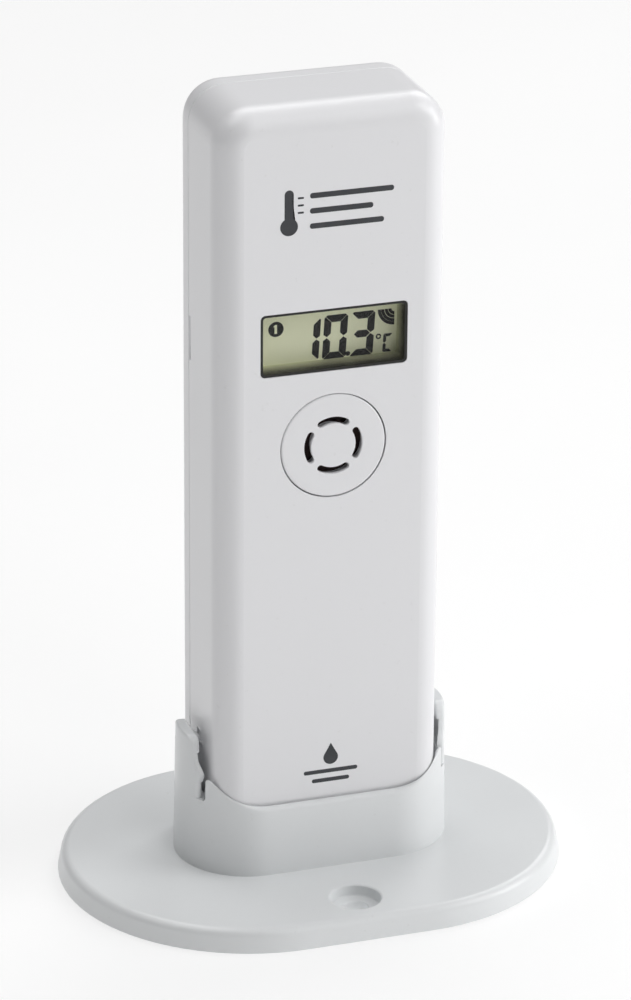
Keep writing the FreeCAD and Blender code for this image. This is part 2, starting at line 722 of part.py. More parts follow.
def make_front_shell():
    body = new_body("front_shell")
    sketch = case_outline(body, "outside", d.seam_y, ZERO, d.body_corner)
    pad(body, sketch, d.seam_y + half_deep, -1)
    fillet(body, "front_edge", d.front_round, flat_at("Y", -half_deep))
    bevel(body, "seam_groove", d.seam_groove, flat_at("Y", d.seam_y))
    sketch = case_outline(body, "inside", d.seam_y, d.wall, d.body_corner - d.wall)
    pocket(body, sketch, d.seam_y - front_inside, -1)
    fillet(body, "inside_edge", d.front_round - d.wall, flat_at("Y", front_inside))

    sketch = new_sketch(body, "case_posts", "XZ_Plane", level=d.seam_y)
    circles(sketch, d.case_post_radius, case_screw_places())
    pad(body, sketch, d.seam_y - front_inside + BITE, -1)
    sketch = new_sketch(body, "board_posts", "XZ_Plane", level=d.board_y)
    circles(sketch, d.board_post_radius, board_screw_places())
    pad(body, sketch, d.board_y - front_inside + BITE, -1)
    sketch = new_sketch(body, "case_threads", "XZ_Plane", level=d.seam_y)
    circles(sketch, d.case_thread_radius, case_screw_places())
    pocket(body, sketch, d.case_thread_deep, -1)
    sketch = new_sketch(body, "board_threads", "XZ_Plane", level=d.board_y)
    circles(sketch, d.board_thread_radius, board_screw_places())
    pocket(body, sketch, d.board_thread_deep, -1)

    sketch = new_sketch(body, "window", "XZ_Plane", up=d.window_z)
    rounded_rectangle(sketch, d.window_wide, d.window_tall, d.window_corner)
    pocket(body, sketch, LONG_CUT, -1)
    sketch = new_sketch(body, "vent_hole", "XZ_Plane")
    pocket(body, circles(sketch, d.vent_radius + d.vent_gap, [(0, d.vent_z)]), LONG_CUT, -1)
    for name, side in (("left", -1), ("right", 1)):
        sketch = new_sketch(body, f"{name}_catch", "YZ_Plane", level=(half_wide - d.catch_deep) * side)
        rectangle(sketch, -d.catch_half_width, d.catch_low, d.catch_half_width, d.catch_high)
        pocket(body, sketch, d.wall, side)
    sketch = new_sketch(body, "pry_notch", "XZ_Plane", level=d.seam_y, up=d.notch_z)
    half = d.notch_long * 0.5
    rectangle(sketch, -half_wide - OVERHANG, -half, d.notch_deep - half_wide, half)
    pocket(body, sketch, d.notch_deep * 2, -1)
    return body


def make_back_shell():
    body = new_body("back_shell")
    sketch = case_outline(body, "outside", d.seam_y, ZERO, d.body_corner)
    pad(body, sketch, half_deep - d.seam_y, 1)
    fillet(body, "back_edge", d.back_round, flat_at("Y", half_deep))
    bevel(body, "seam_groove", d.seam_groove, flat_at("Y", d.seam_y))
    sketch = case_outline(body, "inside", d.seam_y, d.back_rim, d.body_corner - d.back_rim)
    pocket(body, sketch, back_inside - d.seam_y, 1)
    lip_inset = d.wall + d.lip_gap
    sketch = case_outline(body, "lip", d.seam_y, lip_inset, d.body_corner - lip_inset)
    rounded_rectangle(
        sketch,
        d.body_wide - d.back_rim * 2,
        d.body_tall - d.back_rim * 2,
        d.body_corner - d.back_rim,
    )
    pad(body, sketch, d.lip_height, -1)

    tray_half = d.tray_wide * 0.5
    outer = tray_half + d.tray_wall
    ledge = d.shelf_y - d.shelf_wall
    sketch = new_sketch(body, "ledge_block", "XZ_Plane", level=ledge)
    rectangle(sketch, -outer, d.tray_low - d.tray_wall, outer, d.door_high + d.shelf_wall)
    pad(body, sketch, back_inside - ledge + BITE, 1)
    sketch = new_sketch(body, "tray_block", "XZ_Plane", level=ledge + BITE)
    rectangle(sketch, -outer, d.tray_low - d.tray_wall, outer, d.tray_high + d.tray_wall)
    pad(body, sketch, ledge + BITE - d.tray_floor + d.tray_wall, -1)

    def long_edge(x, y):
        def test(edge):
            middle = edge.CenterOfMass
            on_line = abs(abs(middle.x) - x.value) < 0.01 and abs(middle.y - y.value) < 0.01
            return on_line and edge.Length > 30
        return test

    sketch = new_sketch(body, "door_opening", "XZ_Plane", level=half_deep)
    half = d.door_wide * 0.5
    rectangle(sketch, -half, d.door_low, half, d.door_high)
    pocket(body, sketch, half_deep - d.shelf_y, -1)
    sketch = new_sketch(body, "tray_inside", "XZ_Plane", level=d.shelf_y)
    rectangle(sketch, -tray_half, d.tray_low, tray_half, d.tray_high)
    pocket(body, sketch, d.shelf_y - d.tray_floor, -1)
    fillet(body, "tray_corners", d.tray_round, long_edge(tray_half, d.tray_floor))
    tray_front = d.tray_floor - d.tray_wall
    fillet(body, "tray_edges", d.tray_round + d.tray_wall, long_edge(outer, tray_front))

    sketch = new_sketch(body, "case_bosses", "XZ_Plane", level=d.seam_y)
    circles(sketch, d.case_boss_radius, case_screw_places())
    pad(body, sketch, back_inside - d.seam_y + BITE, 1)
    boss_front = half_deep - d.keyhole_deep - d.keyhole_floor
    sketch = new_sketch(body, "keyhole_boss", "XZ_Plane", level=boss_front)
    circles(sketch, d.keyhole_boss_radius, [(0, d.keyhole_z + d.keyhole_boss_rise)])
    pad(body, sketch, back_inside - boss_front + BITE, 1)
    sketch = new_sketch(body, "case_sinks", "XZ_Plane", level=half_deep)
    pocket(body, circles(sketch, d.case_sink_radius, case_screw_places()), d.case_sink_deep, -1)
    sketch = new_sketch(body, "case_holes", "XZ_Plane", level=half_deep)
    circles(sketch, d.case_hole_radius, case_screw_places())
    pocket(body, sketch, half_deep - d.seam_y + OVERHANG, -1)
    sketch = new_sketch(body, "keyhole", "XZ_Plane", level=half_deep)
    pocket(body, circles(sketch, d.keyhole_radius, [(0, d.keyhole_z)]), d.keyhole_deep, -1)
    sketch = new_sketch(body, "keyhole_slot", "XZ_Plane", level=half_deep)
    slot = d.keyhole_slot_radius
    rectangle(sketch, -slot, d.keyhole_z, slot, d.keyhole_z + d.keyhole_slot_long)
    pocket(body, sketch, d.keyhole_deep, -1)
    sketch = new_sketch(body, "button_hole", "XZ_Plane", level=half_deep)
    circles(sketch, d.button_hole_radius, [(0, d.button_z)])
    pocket(body, sketch, half_deep - ledge + OVERHANG, -1)
    sketch = new_sketch(body, "hinge_holes", "YZ_Plane")
    circles(sketch, d.hinge_hole_radius, [(d.hinge_y, d.hinge_z)])
    reach = tray_half + d.hinge_pin_long + d.hinge_end_gap
    hole = pocket(body, sketch, reach, 1)
    hole.SideType = "Symmetric"
    bind(hole, Length=reach * 2)
    doc.recompute()
    return body


def make_battery_cover():
    """A flat cover that turns on two short pins at its lower edge."""
    body = new_body("battery_cover")
    half = d.door_wide * 0.5 - d.cover_gap
    low = d.hinge_z - d.cover_below_hinge
    high = d.door_high - d.cover_gap
    sketch = new_sketch(body, "plate", "XZ_Plane", level=half_deep)
    rectangle(sketch, -half, low, half, high)
    pad(body, sketch, d.cover_thick, -1)

    def lower_edge(edge):
        return flat_at("Z", low)(edge) and edge.Length > 20

    def side_corner(edge):
        middle = edge.CenterOfMass
        return abs(middle.z - high.value) < 0.01 and edge.Length < 2

    fillet(body, "hinge_edge", d.cover_edge_round, lower_edge)
    fillet(body, "top_corners", d.cover_corner, side_corner)
    sketch = new_sketch(body, "grip", "XZ_Plane", level=half_deep, up=d.grip_z)
    stadium(sketch, d.grip_straight, d.grip_radius)
    pocket(body, sketch, d.grip_deep, -1)
    rib_foot = half_deep - d.grip_rib_set_back - d.grip_deep
    sketch = new_sketch(body, "grip_ribs", "XZ_Plane", level=rib_foot, up=d.grip_z)
    for index in (-1, 0, 1):
        rise = d.grip_rib_step * index
        low_side, high_side = rise - d.grip_rib_half_wide, rise + d.grip_rib_half_wide
        rectangle(sketch, -d.grip_rib_reach, low_side, d.grip_rib_reach, high_side)
    pad(body, sketch, d.grip_deep, 1)
    cover_inside = half_deep - d.cover_thick
    sketch = new_sketch(body, "stiffeners", "XZ_Plane", level=cover_inside + BITE)
    for side in (-1, 1):
        left = d.stiffener_x * side - d.stiffener_half_wide
        right = d.stiffener_x * side + d.stiffener_half_wide
        rectangle(sketch, left, d.stiffener_low, right, d.stiffener_high)
    pad(body, sketch, d.stiffener_tall + BITE, -1)
    sketch = new_sketch(body, "hinge_pins", "YZ_Plane")
    circles(sketch, d.hinge_pin_radius, [(d.hinge_y, d.hinge_z)])
    pins = pad(body, sketch, half, 1)
    pins.SideType = "Symmetric"
    bind(pins, Length=(half + d.hinge_pin_long) * 2)
    doc.recompute()
    return body


# Display and vent ----------------------------------------------------------------------------

def make_display_frame():
    """Dark frame whose collar lines the display opening and whose box holds the glass."""
    body = new_body("display_frame")
    sketch = new_sketch(body, "box", "XZ_Plane", level=d.board_y, up=d.window_z)
    rounded_rectangle(sketch, d.frame_wide, d.frame_tall, d.window_corner)
    pad(body, sketch, d.board_y - front_inside, -1)
    sketch = new_sketch(body, "collar", "XZ_Plane", level=front_inside, up=d.window_z)
    gaps = d.frame_gap * 2
    rounded_rectangle(sketch, d.window_wide - gaps, d.window_tall - gaps, d.window_corner)
    pad(body, sketch, d.wall - d.frame_set_back, -1)
    sketch = new_sketch(body, "glass_seat", "XZ_Plane", level=d.board_y, up=d.window_z)
    walls = d.frame_wall * 2
    rounded_rectangle(sketch, d.frame_wide - walls, d.frame_tall - walls, d.frame_corner)
    pocket(body, sketch, d.board_y - d.glass_y, -1)
    sketch = new_sketch(body, "opening", "XZ_Plane", up=d.window_z)
    lips = d.frame_lip * 2
    rounded_rectangle(sketch, d.window_wide - lips, d.window_tall - lips, d.frame_corner)
    pocket(body, sketch, LONG_CUT, -1)
    return body


def centred_block(name, width, height, y, z):
    """A plate across the front, centred on x = 0 and on a height."""
    half = size(width) * 0.5
    rise = size(height) * 0.5
    return block(name, (-half, half), y, (z - rise, z + rise))


def make_display():
    around = (d.frame_wall + d.glass_gap) * 2
    glass_wide = d.frame_wide - around
    glass_tall = d.frame_tall - around
    glass_back = d.glass_y + d.glass_thick
    reflector_back = glass_back + d.reflector_thick
    inset = (d.frame_lip + d.pane_gap) * 2
    pane_front = d.pane_set_back - half_deep
    window = centred_block(
        "display_window",
        d.window_wide - inset,
        d.window_tall - inset,
        (pane_front, pane_front + d.pane_thick),
        d.window_z,
    )
    glass = centred_block("display_glass", glass_wide, glass_tall, (d.glass_y, glass_back), d.window_z)
    reflector = centred_block(
        "display_reflector",
        glass_wide,
        glass_tall - d.strip_room,
        (glass_back, reflector_back),
        d.window_z - d.strip_room * 0.5,
    )
    strip_z = d.window_z + d.frame_tall * 0.5 - d.strip_below_frame
    depth = (glass_back, d.board_y)
    strip = centred_block("contact_strip", d.strip_wide, d.strip_tall, depth, strip_z)
    return [window, make_display_frame(), glass, reflector, strip]


def make_vent():
    """Round insert with four arc slots, the membrane behind it and the foam ring to the board."""
    face = rod("vent_face", d.vent_radius, d.wall, 0, -half_deep, d.vent_z, TO_PLUS_Y)
    flange = rod(
        "vent_flange", d.vent_flange_radius, d.vent_flange_thick, 0, front_inside, d.vent_z, TO_PLUS_Y
    )
    slots = []
    for quarter in range(4):
        middle = 90 * quarter
        turn = FreeCAD.Rotation(FreeCAD.Vector(0, 1, 0), middle)
        turn = turn.multiply(TO_PLUS_Y)
        turn = turn.multiply(FreeCAD.Rotation(FreeCAD.Vector(0, 0, 1), -d.vent_slot_angle.value / 2))
        outer = rod(
            f"vent_slot_outer_{quarter}",
            d.vent_slot_radius + d.vent_slot_wide * 0.5,
            d.wall + OVERHANG * 2,
            0,
            -half_deep - OVERHANG,
            d.vent_z,
            turn,
        )
        bind(outer, Angle=d.vent_slot_angle)
        slots.append(outer)
    core = rod(
        "vent_slot_core",
        d.vent_slot_radius - d.vent_slot_wide * 0.5,
        d.wall + OVERHANG * 4,
        0,
        -half_deep - OVERHANG * 2,
        d.vent_z,
        TO_PLUS_Y,
    )
    arcs = subtract("vent_slot_arcs", join("vent_slot_sectors", *slots), core)
    disc = subtract("vent_disc", join("vent_blank", face, flange), arcs)

    membrane_front = front_inside + d.vent_flange_thick
    membrane = rod(
        "vent_membrane", d.membrane_radius, d.membrane_thick, 0, membrane_front, d.vent_z, TO_PLUS_Y
    )
    gasket_front = membrane_front + d.membrane_thick
    long = d.board_y - gasket_front
    outer = rod("gasket_outside", d.membrane_radius, long, 0, gasket_front, d.vent_z, TO_PLUS_Y)
    inner = rod("gasket_inside_cut", d.gasket_inside, long, 0, gasket_front, d.vent_z, TO_PLUS_Y)
    return [disc, membrane, subtract("sensor_gasket", outer, inner)]


# Electronics ---------------------------------------------------------------------------------

def make_circuit_board():
    half = d.board_wide * 0.5
    board = block("board_blank", (-half, half), (d.board_y, board_back), (d.board_low, d.board_high))
    holes = []
    for index, (x, z) in enumerate(board_screw_places()):
        front = d.board_y - OVERHANG
        long = d.board_thick + OVERHANG * 2
        holes.append(rod(f"board_hole_{index}", d.board_hole_radius, long, x, front, z, TO_PLUS_Y))
    return subtract("circuit_board", board, join("board_holes", *holes))


def make_components():
    """Parts soldered to the board: the sensor in front, the rest behind."""
    sensor_depth = (d.board_y - d.sensor_tall, d.board_y)
    sensor = centred_block("humidity_sensor", d.sensor_size, d.sensor_size, sensor_depth, d.vent_z)
    blocks = [
        block(name, across, (board_back, board_back + height), up)
        for name, across, up, height in BLOCK_PARTS
    ]
    chip, card, shield = blocks
    x, z = CRYSTAL_PLACE
    crystal = rod("crystal", CRYSTAL_RADIUS, CRYSTAL_LONG, x, board_back + CRYSTAL_RADIUS, z)
    cans = [
        rod(f"capacitor_{index}", CAPACITOR_RADIUS, CAPACITOR_TALL, x, board_back, z, TO_PLUS_Y)
        for index, (x, z) in enumerate(CAPACITOR_PLACES)
    ]
    radio = join("radio_module", card, shield)
    return [sensor, chip, radio, crystal, group("capacitors", cans)]


def make_antenna():
    """A bent wire that leaves the board, runs up, across and down again around the radio."""
    wire = d.antenna_wire
    reach = d.antenna_reach
    foot = d.antenna_low
    top = d.antenna_high
    depth = board_back + d.antenna_stand_off
    across = reach * 2
    rise = top - foot
    pieces = [
        rod("antenna_foot", wire, d.antenna_stand_off, reach, board_back, foot, TO_PLUS_Y),
        rod("antenna_right", wire, rise, reach, depth, foot),
        rod("antenna_across", wire, across, -reach, depth, top, TO_PLUS_X),
        rod("antenna_left", wire, rise, -reach, depth, foot),
    ]
    for index, (x, z) in enumerate([(reach, foot), (reach, top), (-reach, top)]):
        ball = doc.addObject("Part::Sphere", f"antenna_bend_{index}")
        bind(ball, Radius=wire)
        place(ball, x, depth, z)
        pieces.append(ball)
    return join("antenna", *pieces)


def make_button():
    """Push button behind the cover, and the switch on the board that it works."""
    high = board_back + d.switch_tall
    half = d.switch_size * 0.5
    base = block("switch_base", (-half, half), (board_back, high), (d.button_z - half, d.button_z + half))
    bore_long = d.switch_bore_deep + OVERHANG
    bore_floor = high - d.switch_bore_deep
    bore = rod("switch_bore", d.button_hole_radius, bore_long, 0, bore_floor, d.button_z, TO_PLUS_Y)
    stem = rod(
        "button_stem", d.button_radius, d.button_high - d.button_low, 0, d.button_low, d.button_z, TO_PLUS_Y
    )
    flange = rod(
        "button_flange",
        d.button_flange_radius,
        d.button_flange_thick,
        0,
        d.button_flange_low,
        d.button_z,
        TO_PLUS_Y,
    )
    return [subtract("button_switch", base, bore), join("button", stem, flange)]


# Batteries -----------------------------------------------------------------------------------

def make_cell(label, side):
    """An AA cell: the left one has its button up, the right one has it down."""
    up = side < 0
    nub_end = d.tray_high - d.contact_thick if up else d.tray_low + d.contact_thick
    can_low = nub_end - d.cell_nub_long - d.cell_long if up else nub_end + d.cell_nub_long
    nub_low = nub_end - d.cell_nub_long if up else nub_end
    x = d.cell_x * side
    can = rod(f"{label}_can", d.cell_radius, d.cell_long, x, d.cell_y, can_low)
    nub = rod(f"{label}_nub", d.cell_nub_radius, d.cell_nub_long, x, d.cell_y, nub_low)
    return join(label, can, nub)


def make_battery_contacts():
    """Two springs, two plates at the upper end, and one bridge at the lower end."""
    room = d.tray_high - d.tray_low - d.contact_thick * 2
    spring_long = room - d.cell_long - d.cell_nub_long
    step = (spring_long - d.spring_wire * 2) * (1 / (SPRING_TURNS - 1))
    low = d.tray_low + d.contact_thick + d.spring_wire
    high = d.tray_high - d.contact_thick - d.spring_wire
    springs = []
    for side, first, direction in ((-1, low, 1), (1, high, -1)):
        turns = []
        for index in range(SPRING_TURNS):
            turn = doc.addObject("Part::Torus", f"spring_{side + 1}_{index}")
            bind(turn, Radius1=d.spring_radius, Radius2=d.spring_wire)
            place(turn, d.cell_x * side, d.cell_y, first + step * (direction * index))
            turns.append(turn)
        springs.append(join(f"spring_{side + 1}", *turns))
    half = d.contact_size * 0.5
    depth = (d.cell_y - half, d.shelf_y - d.contact_gap)
    plates = []
    for side in (-1, 1):
        middle = d.cell_x * side
        level = (d.tray_high - d.contact_thick, d.tray_high)
        plates.append(block(f"contact_{side + 1}", (middle - half, middle + half), depth, level))
    reach = d.cell_x + half
    bridge = block("contact_bridge", (-reach, reach), depth, (d.tray_low, d.tray_low + d.contact_thick))
    return [group("battery_springs", springs), group("battery_contacts", plates), bridge]


# Screws --------------------------------------------------------------------------------------

def make_screw(name, head_radius, head_tall, shank_radius, shank_long, x, seat, z):
    """A pan head screw whose head sits on a face at depth seat and whose shank points to -Y."""
    head = rod(f"{name}_head", head_radius, head_tall, x, seat, z, TO_PLUS_Y)
    shank = rod(f"{name}_shank", shank_radius, shank_long, x, seat, z, TO_MINUS_Y)
    reach = head_radius * CROSS_REACH
    wide = d.cross_half_wide
    depth = (seat + head_tall * CROSS_FLOOR, seat + head_tall + OVERHANG)
    slots = [
        block(f"{name}_slot_a", (x - reach, x + reach), depth, (z - wide, z + wide)),
        block(f"{name}_slot_b", (x - wide, x + wide), depth, (z - reach, z + reach)),
    ]
    return subtract(name, join(f"{name}_blank", head, shank), join(f"{name}_cross", *slots))


def make_screws():
    case = []
    sizes = (d.case_head_radius, d.case_head_tall, d.case_shank_radius, d.case_shank_long)
    seat = half_deep - d.case_sink_deep
    for index, (x, z) in enumerate(case_screw_places()):
        case.append(make_screw(f"case_screw_{index}", *sizes, x, seat, z))
    board = []
    sizes = (d.board_head_radius, d.board_head_tall, d.board_shank_radius, d.board_shank_long)
    for index, (x, z) in enumerate(board_screw_places()):
        board.append(make_screw(f"board_screw_{index}", *sizes, x, board_back, z))
    return [group("case_screws", case), group("board_screws", board)]


# Whole object --------------------------------------------------------------------------------

def build():
    collar_form = make_collar_form()
    clip_core = make_clip_core()
    parts = [
        make_stand(),
        make_clip_arm("clip_arm_left", -1, collar_form, clip_core),
        make_clip_arm("clip_arm_right", 1, collar_form, clip_core),
        make_front_shell(),
        make_back_shell(),
        make_battery_cover(),
    ]
    parts += make_display()
    parts += make_vent()
    parts.append(make_circuit_board())
    parts += make_components()
    parts.append(make_antenna())
    parts += make_button()
    parts += [make_cell("battery_left", -1), make_cell("battery_right", 1)]
    parts += make_battery_contacts()
    parts += make_screws()
    doc.recompute()
    return parts


def check(parts):
    for item in doc.Objects:
        if "Invalid" in item.State or "Error" in item.State:
            raise RuntimeError(f"{item.Name} failed: {item.State}")
    for part in parts:
        if part.Shape.isNull() or not part.Shape.isValid():
            raise RuntimeError(f"{part.Label} has no valid shape")


def export(parts):
    os.makedirs("parts", exist_ok=True)
    for part in parts:
        part.Shape.exportStep(f"parts/{part.Label}.step")
        print(f"{part.Label}: {len(part.Shape.Solids)} solid(s), {part.Shape.Volume:.1f} mm3")


all_parts = build()
check(all_parts)
export(all_parts)
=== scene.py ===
"""Looks of a wireless temperature transmitter in its stand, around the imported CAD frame.

Lengths are written in millimetres and turned into metres by MM.
"""

import math

import bmesh
import bpy
from mathutils import Matrix, Vector


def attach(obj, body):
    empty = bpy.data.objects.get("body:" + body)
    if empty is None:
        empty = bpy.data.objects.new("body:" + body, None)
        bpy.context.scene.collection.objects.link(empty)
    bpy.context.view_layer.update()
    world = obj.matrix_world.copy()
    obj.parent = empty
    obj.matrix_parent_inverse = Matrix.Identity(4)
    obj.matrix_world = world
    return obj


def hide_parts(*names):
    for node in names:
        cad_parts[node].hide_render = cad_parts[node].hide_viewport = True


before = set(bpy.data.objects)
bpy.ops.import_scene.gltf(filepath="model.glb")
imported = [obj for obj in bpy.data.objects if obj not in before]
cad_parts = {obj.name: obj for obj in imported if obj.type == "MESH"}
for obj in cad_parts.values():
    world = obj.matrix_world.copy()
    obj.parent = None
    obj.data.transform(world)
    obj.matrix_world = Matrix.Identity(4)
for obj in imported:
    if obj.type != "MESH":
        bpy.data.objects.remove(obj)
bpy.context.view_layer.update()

MM = 0.001
scene = bpy.context.scene


# ---------------------------------------------------------------- materials

def srgb(red, green, blue):
    """Linear colour of an sRGB colour given from 0 to 255."""
    def linear(value):
        value = value / 255
        return value / 12.92 if value <= 0.04045 else ((value + 0.055) / 1.055) ** 2.4
    return (linear(red), linear(green), linear(blue), 1.0)


class Material:
    """A node material with one Principled shader, built up by short calls."""

    def __init__(self, name, roughness=0.5, **sockets):
        self.material = bpy.data.materials.new(name)
        self.material.use_nodes = True
        self.tree = self.material.node_tree
        self.nodes = self.tree.nodes
        self.shader = self.nodes["Principled BSDF"]
        self.shader.inputs["Roughness"].default_value = roughness
        for socket, value in sockets.items():
            self.shader.inputs[socket.replace("_", " ")].default_value = value
        self.coordinates = self.nodes.new("ShaderNodeTexCoord")
        self.heights = []

    def link(self, output, target):
        self.tree.links.new(output, target)
        return self

    def noise(self, scale, detail=3.0, roughness=0.55, stretch=(1, 1, 1)):
        mapping = self.nodes.new("ShaderNodeMapping")
        mapping.inputs["Scale"].default_value = stretch
        self.link(self.coordinates.outputs["Object"], mapping.inputs["Vector"])
        node = self.nodes.new("ShaderNodeTexNoise")
        node.inputs["Scale"].default_value = scale
        node.inputs["Detail"].default_value = detail
        node.inputs["Roughness"].default_value = roughness
        self.link(mapping.outputs["Vector"], node.inputs["Vector"])
        return node.outputs["Fac"]

    def ramp(self, source, *stops):
        """A colour ramp; each stop is (position, linear colour or grey)."""
        node = self.nodes.new("ShaderNodeValToRGB")
        elements = node.color_ramp.elements
        while len(elements) < len(stops):
            elements.new(0.5)
        for element, (position, colour) in zip(elements, stops):
            element.position = position
            element.color = colour if hasattr(colour, "__len__") else (colour,) * 3 + (1.0,)
        self.link(source, node.inputs["Fac"])
        return node.outputs["Color"]

    def spread(self, source, low, high):
        """The source from 0.3 to 0.7 mapped to low..high."""
        node = self.nodes.new("ShaderNodeMapRange")
        for socket, value in (("From Min", 0.3), ("From Max", 0.7), ("To Min", low), ("To Max", high)):
            node.inputs[socket].default_value = value
        self.link(source, node.inputs["Value"])
        return node.outputs["Result"]

    def mix(self, factor, first, second, blend="MIX"):
        """Mixes two colours; each is an output or a colour, the factor an output or a number."""
        node = self.nodes.new("ShaderNodeMix")
        node.data_type = "RGBA"
        node.blend_type = blend
        for index, value in ((0, factor), (6, first), (7, second)):
            if isinstance(value, bpy.types.NodeSocket):
                self.link(value, node.inputs[index])
            else:
                node.inputs[index].default_value = value
        return node.outputs[2]

    def colour(self, source):
        return self.link(source, self.shader.inputs["Base Color"])

    def gloss(self, source):
        return self.link(source, self.shader.inputs["Roughness"])

    def bump(self, source, strength, distance):
        node = self.nodes.new("ShaderNodeBump")
        node.inputs["Strength"].default_value = strength
        node.inputs["Distance"].default_value = distance
        self.link(source, node.inputs["Height"])
        if self.heights:
            self.link(self.heights[-1].outputs["Normal"], node.inputs["Normal"])
        self.heights.append(node)
        return self.link(node.outputs["Normal"], self.shader.inputs["Normal"])


def moulded(name, colour, shade, rough=(0.3, 0.42), grain=0.12, coat=0.0, pit=3500):
    """Moulded plastic: faint flow marks in the colour, handling haze in the gloss and a fine grain."""
    m = Material(name, IOR=1.5, Coat_Weight=coat, Coat_Roughness=0.16)
    flow = m.noise(22, 3, 0.5, (1, 1, 0.3))
    specks = m.noise(900, 2, 0.5)
    tone = m.ramp(flow, (0.25, shade), (0.75, colour))
    m.colour(m.mix(m.ramp(specks, (0.7, 0.0), (0.8, 0.08)), tone, (0.35, 0.33, 0.3, 1.0)))
    m.gloss(m.spread(m.noise(14, 4, 0.5), *rough))
    m.bump(m.noise(pit, 2, 0.5), grain, 0.00003)
    m.bump(m.noise(45, 1, 0.3), 0.04, 0.00015)
    return m.material


CASE = moulded("case_abs", srgb(236, 236, 238), srgb(234, 234, 236), (0.27, 0.33), 0.05, 0.12)
STAND = moulded("stand_abs", srgb(231, 233, 234), srgb(229, 231, 232), (0.28, 0.34), 0.07, 0.1)
BUTTON = moulded("button_abs", srgb(205, 206, 208), srgb(198, 199, 201), (0.35, 0.5), 0.1)
BLACK = moulded("black_abs", srgb(22, 22, 22), srgb(16, 16, 16), (0.3, 0.5), 0.15)


def make_simple(name, colour, shade, rough, metallic=0.0, scale=200, pit=1500, grain=0.1, **sockets):
    """A material with mottled colour, uneven gloss and a fine bump, for the smaller pieces."""
    m = Material(name, Metallic=metallic, **sockets)
    m.colour(m.ramp(m.noise(scale, 5, 0.6), (0.3, shade), (0.7, colour)))
    m.gloss(m.spread(m.noise(scale * 1.7, 4, 0.6), *rough))
    m.bump(m.noise(pit, 3, 0.6), grain, 0.00005)
    return m.material


WINDOW = Material("window_acrylic", 0.05, IOR=1.49, Alpha=0.04)
WINDOW.colour(WINDOW.ramp(WINDOW.noise(60, 3), (0.3, 0.3), (0.7, 0.36)))
WINDOW.gloss(WINDOW.spread(WINDOW.noise(500, 5), 0.03, 0.08))
WINDOW.bump(WINDOW.noise(90, 2), 0.02, 0.0002)
WINDOW = WINDOW.material
GLASS = make_simple("lcd_polariser", srgb(243, 246, 212), srgb(239, 242, 208), (0.45, 0.6), scale=40,
                    Specular_IOR_Level=0.2)
INK = make_simple("lcd_segment", srgb(20, 21, 18), srgb(15, 16, 13), (0.5, 0.65), Specular_IOR_Level=0.15)
REFLECTOR = make_simple("reflector_foil", srgb(205, 207, 200), srgb(190, 192, 186), (0.3, 0.45), 0.6)
RUBBER = make_simple("dark_rubber", srgb(38, 38, 40), srgb(28, 28, 30), (0.6, 0.8), grain=0.3)
# The membrane is dark; its reddish-brown warmth is painted light, standing in for light passing through the
# white plastic around the slots.
MEMBRANE_AND_WARM_LIGHT = make_simple("vent_membrane", srgb(58, 38, 34), srgb(40, 26, 24), (0.7, 0.9), grain=0.5)


def make_board():
    """Solder mask over tracks: a blocky pattern in tone and height, and specks of bare pads."""
    m = Material("board_solder_mask", 0.35, Coat_Weight=0.3)
    mapping = m.nodes.new("ShaderNodeMapping")
    mapping.inputs["Rotation"].default_value = (math.pi / 2, 0, 0)
    m.link(m.coordinates.outputs["Object"], mapping.inputs["Vector"])
    tracks = m.nodes.new("ShaderNodeTexBrick")
    brick = (("Scale", 260.0), ("Mortar Size", 0.03), ("Brick Width", 1.9), ("Row Height", 0.42))
    for socket, value in brick:
        tracks.inputs[socket].default_value = value
    m.link(mapping.outputs["Vector"], tracks.inputs["Vector"])
    cells = m.nodes.new("ShaderNodeTexVoronoi")
    cells.inputs["Scale"].default_value = 330.0
    m.link(mapping.outputs["Vector"], cells.inputs["Vector"])
    tone = m.mix(tracks.outputs["Fac"], srgb(20, 88, 54), srgb(34, 120, 74))
    pads = m.ramp(cells.outputs["Distance"], (0.1, 1.0), (0.14, 0.0))
    m.colour(m.mix(pads, tone, srgb(206, 200, 180)))
    m.gloss(m.spread(m.noise(300, 4), 0.28, 0.42))
    m.bump(tracks.outputs["Fac"], 0.3, 0.00004)
    m.bump(m.noise(1500, 3, 0.6), 0.1, 0.00004)
    return m.material


FRAME_FRONT, PANEL_FRONT = -10.38, -6.5


def make_frame_walls_painted_light():
    """Dark plastic painted with light and shade: dark at the window's front edge, turning to the display's
    pale tone towards the panel, where light falls in through the window.
    """
    m = Material("display_frame_painted_light", 0.5)
    place = m.nodes.new("ShaderNodeSeparateXYZ")
    m.link(m.coordinates.outputs["Object"], place.inputs["Vector"])
    depth = m.nodes.new("ShaderNodeMapRange")
    for socket, value in (("From Min", FRAME_FRONT * MM), ("From Max", PANEL_FRONT * MM)):
        depth.inputs[socket].default_value = value
    m.link(place.outputs["Y"], depth.inputs["Value"])
    # Painted light and shade: dark in the shade at the window's front edge, pale near the panel where light
    # falls in.
    stops = ((0.0, srgb(20, 20, 18)), (0.3, srgb(62, 62, 52)),
             (0.65, srgb(150, 151, 124)), (1.0, srgb(206, 208, 172)))
    m.colour(m.ramp(depth.outputs["Result"], *stops))
    m.gloss(m.spread(m.noise(300, 4, 0.6), 0.4, 0.6))
    m.bump(m.noise(3000, 2), 0.1, 0.00003)
    return m.material


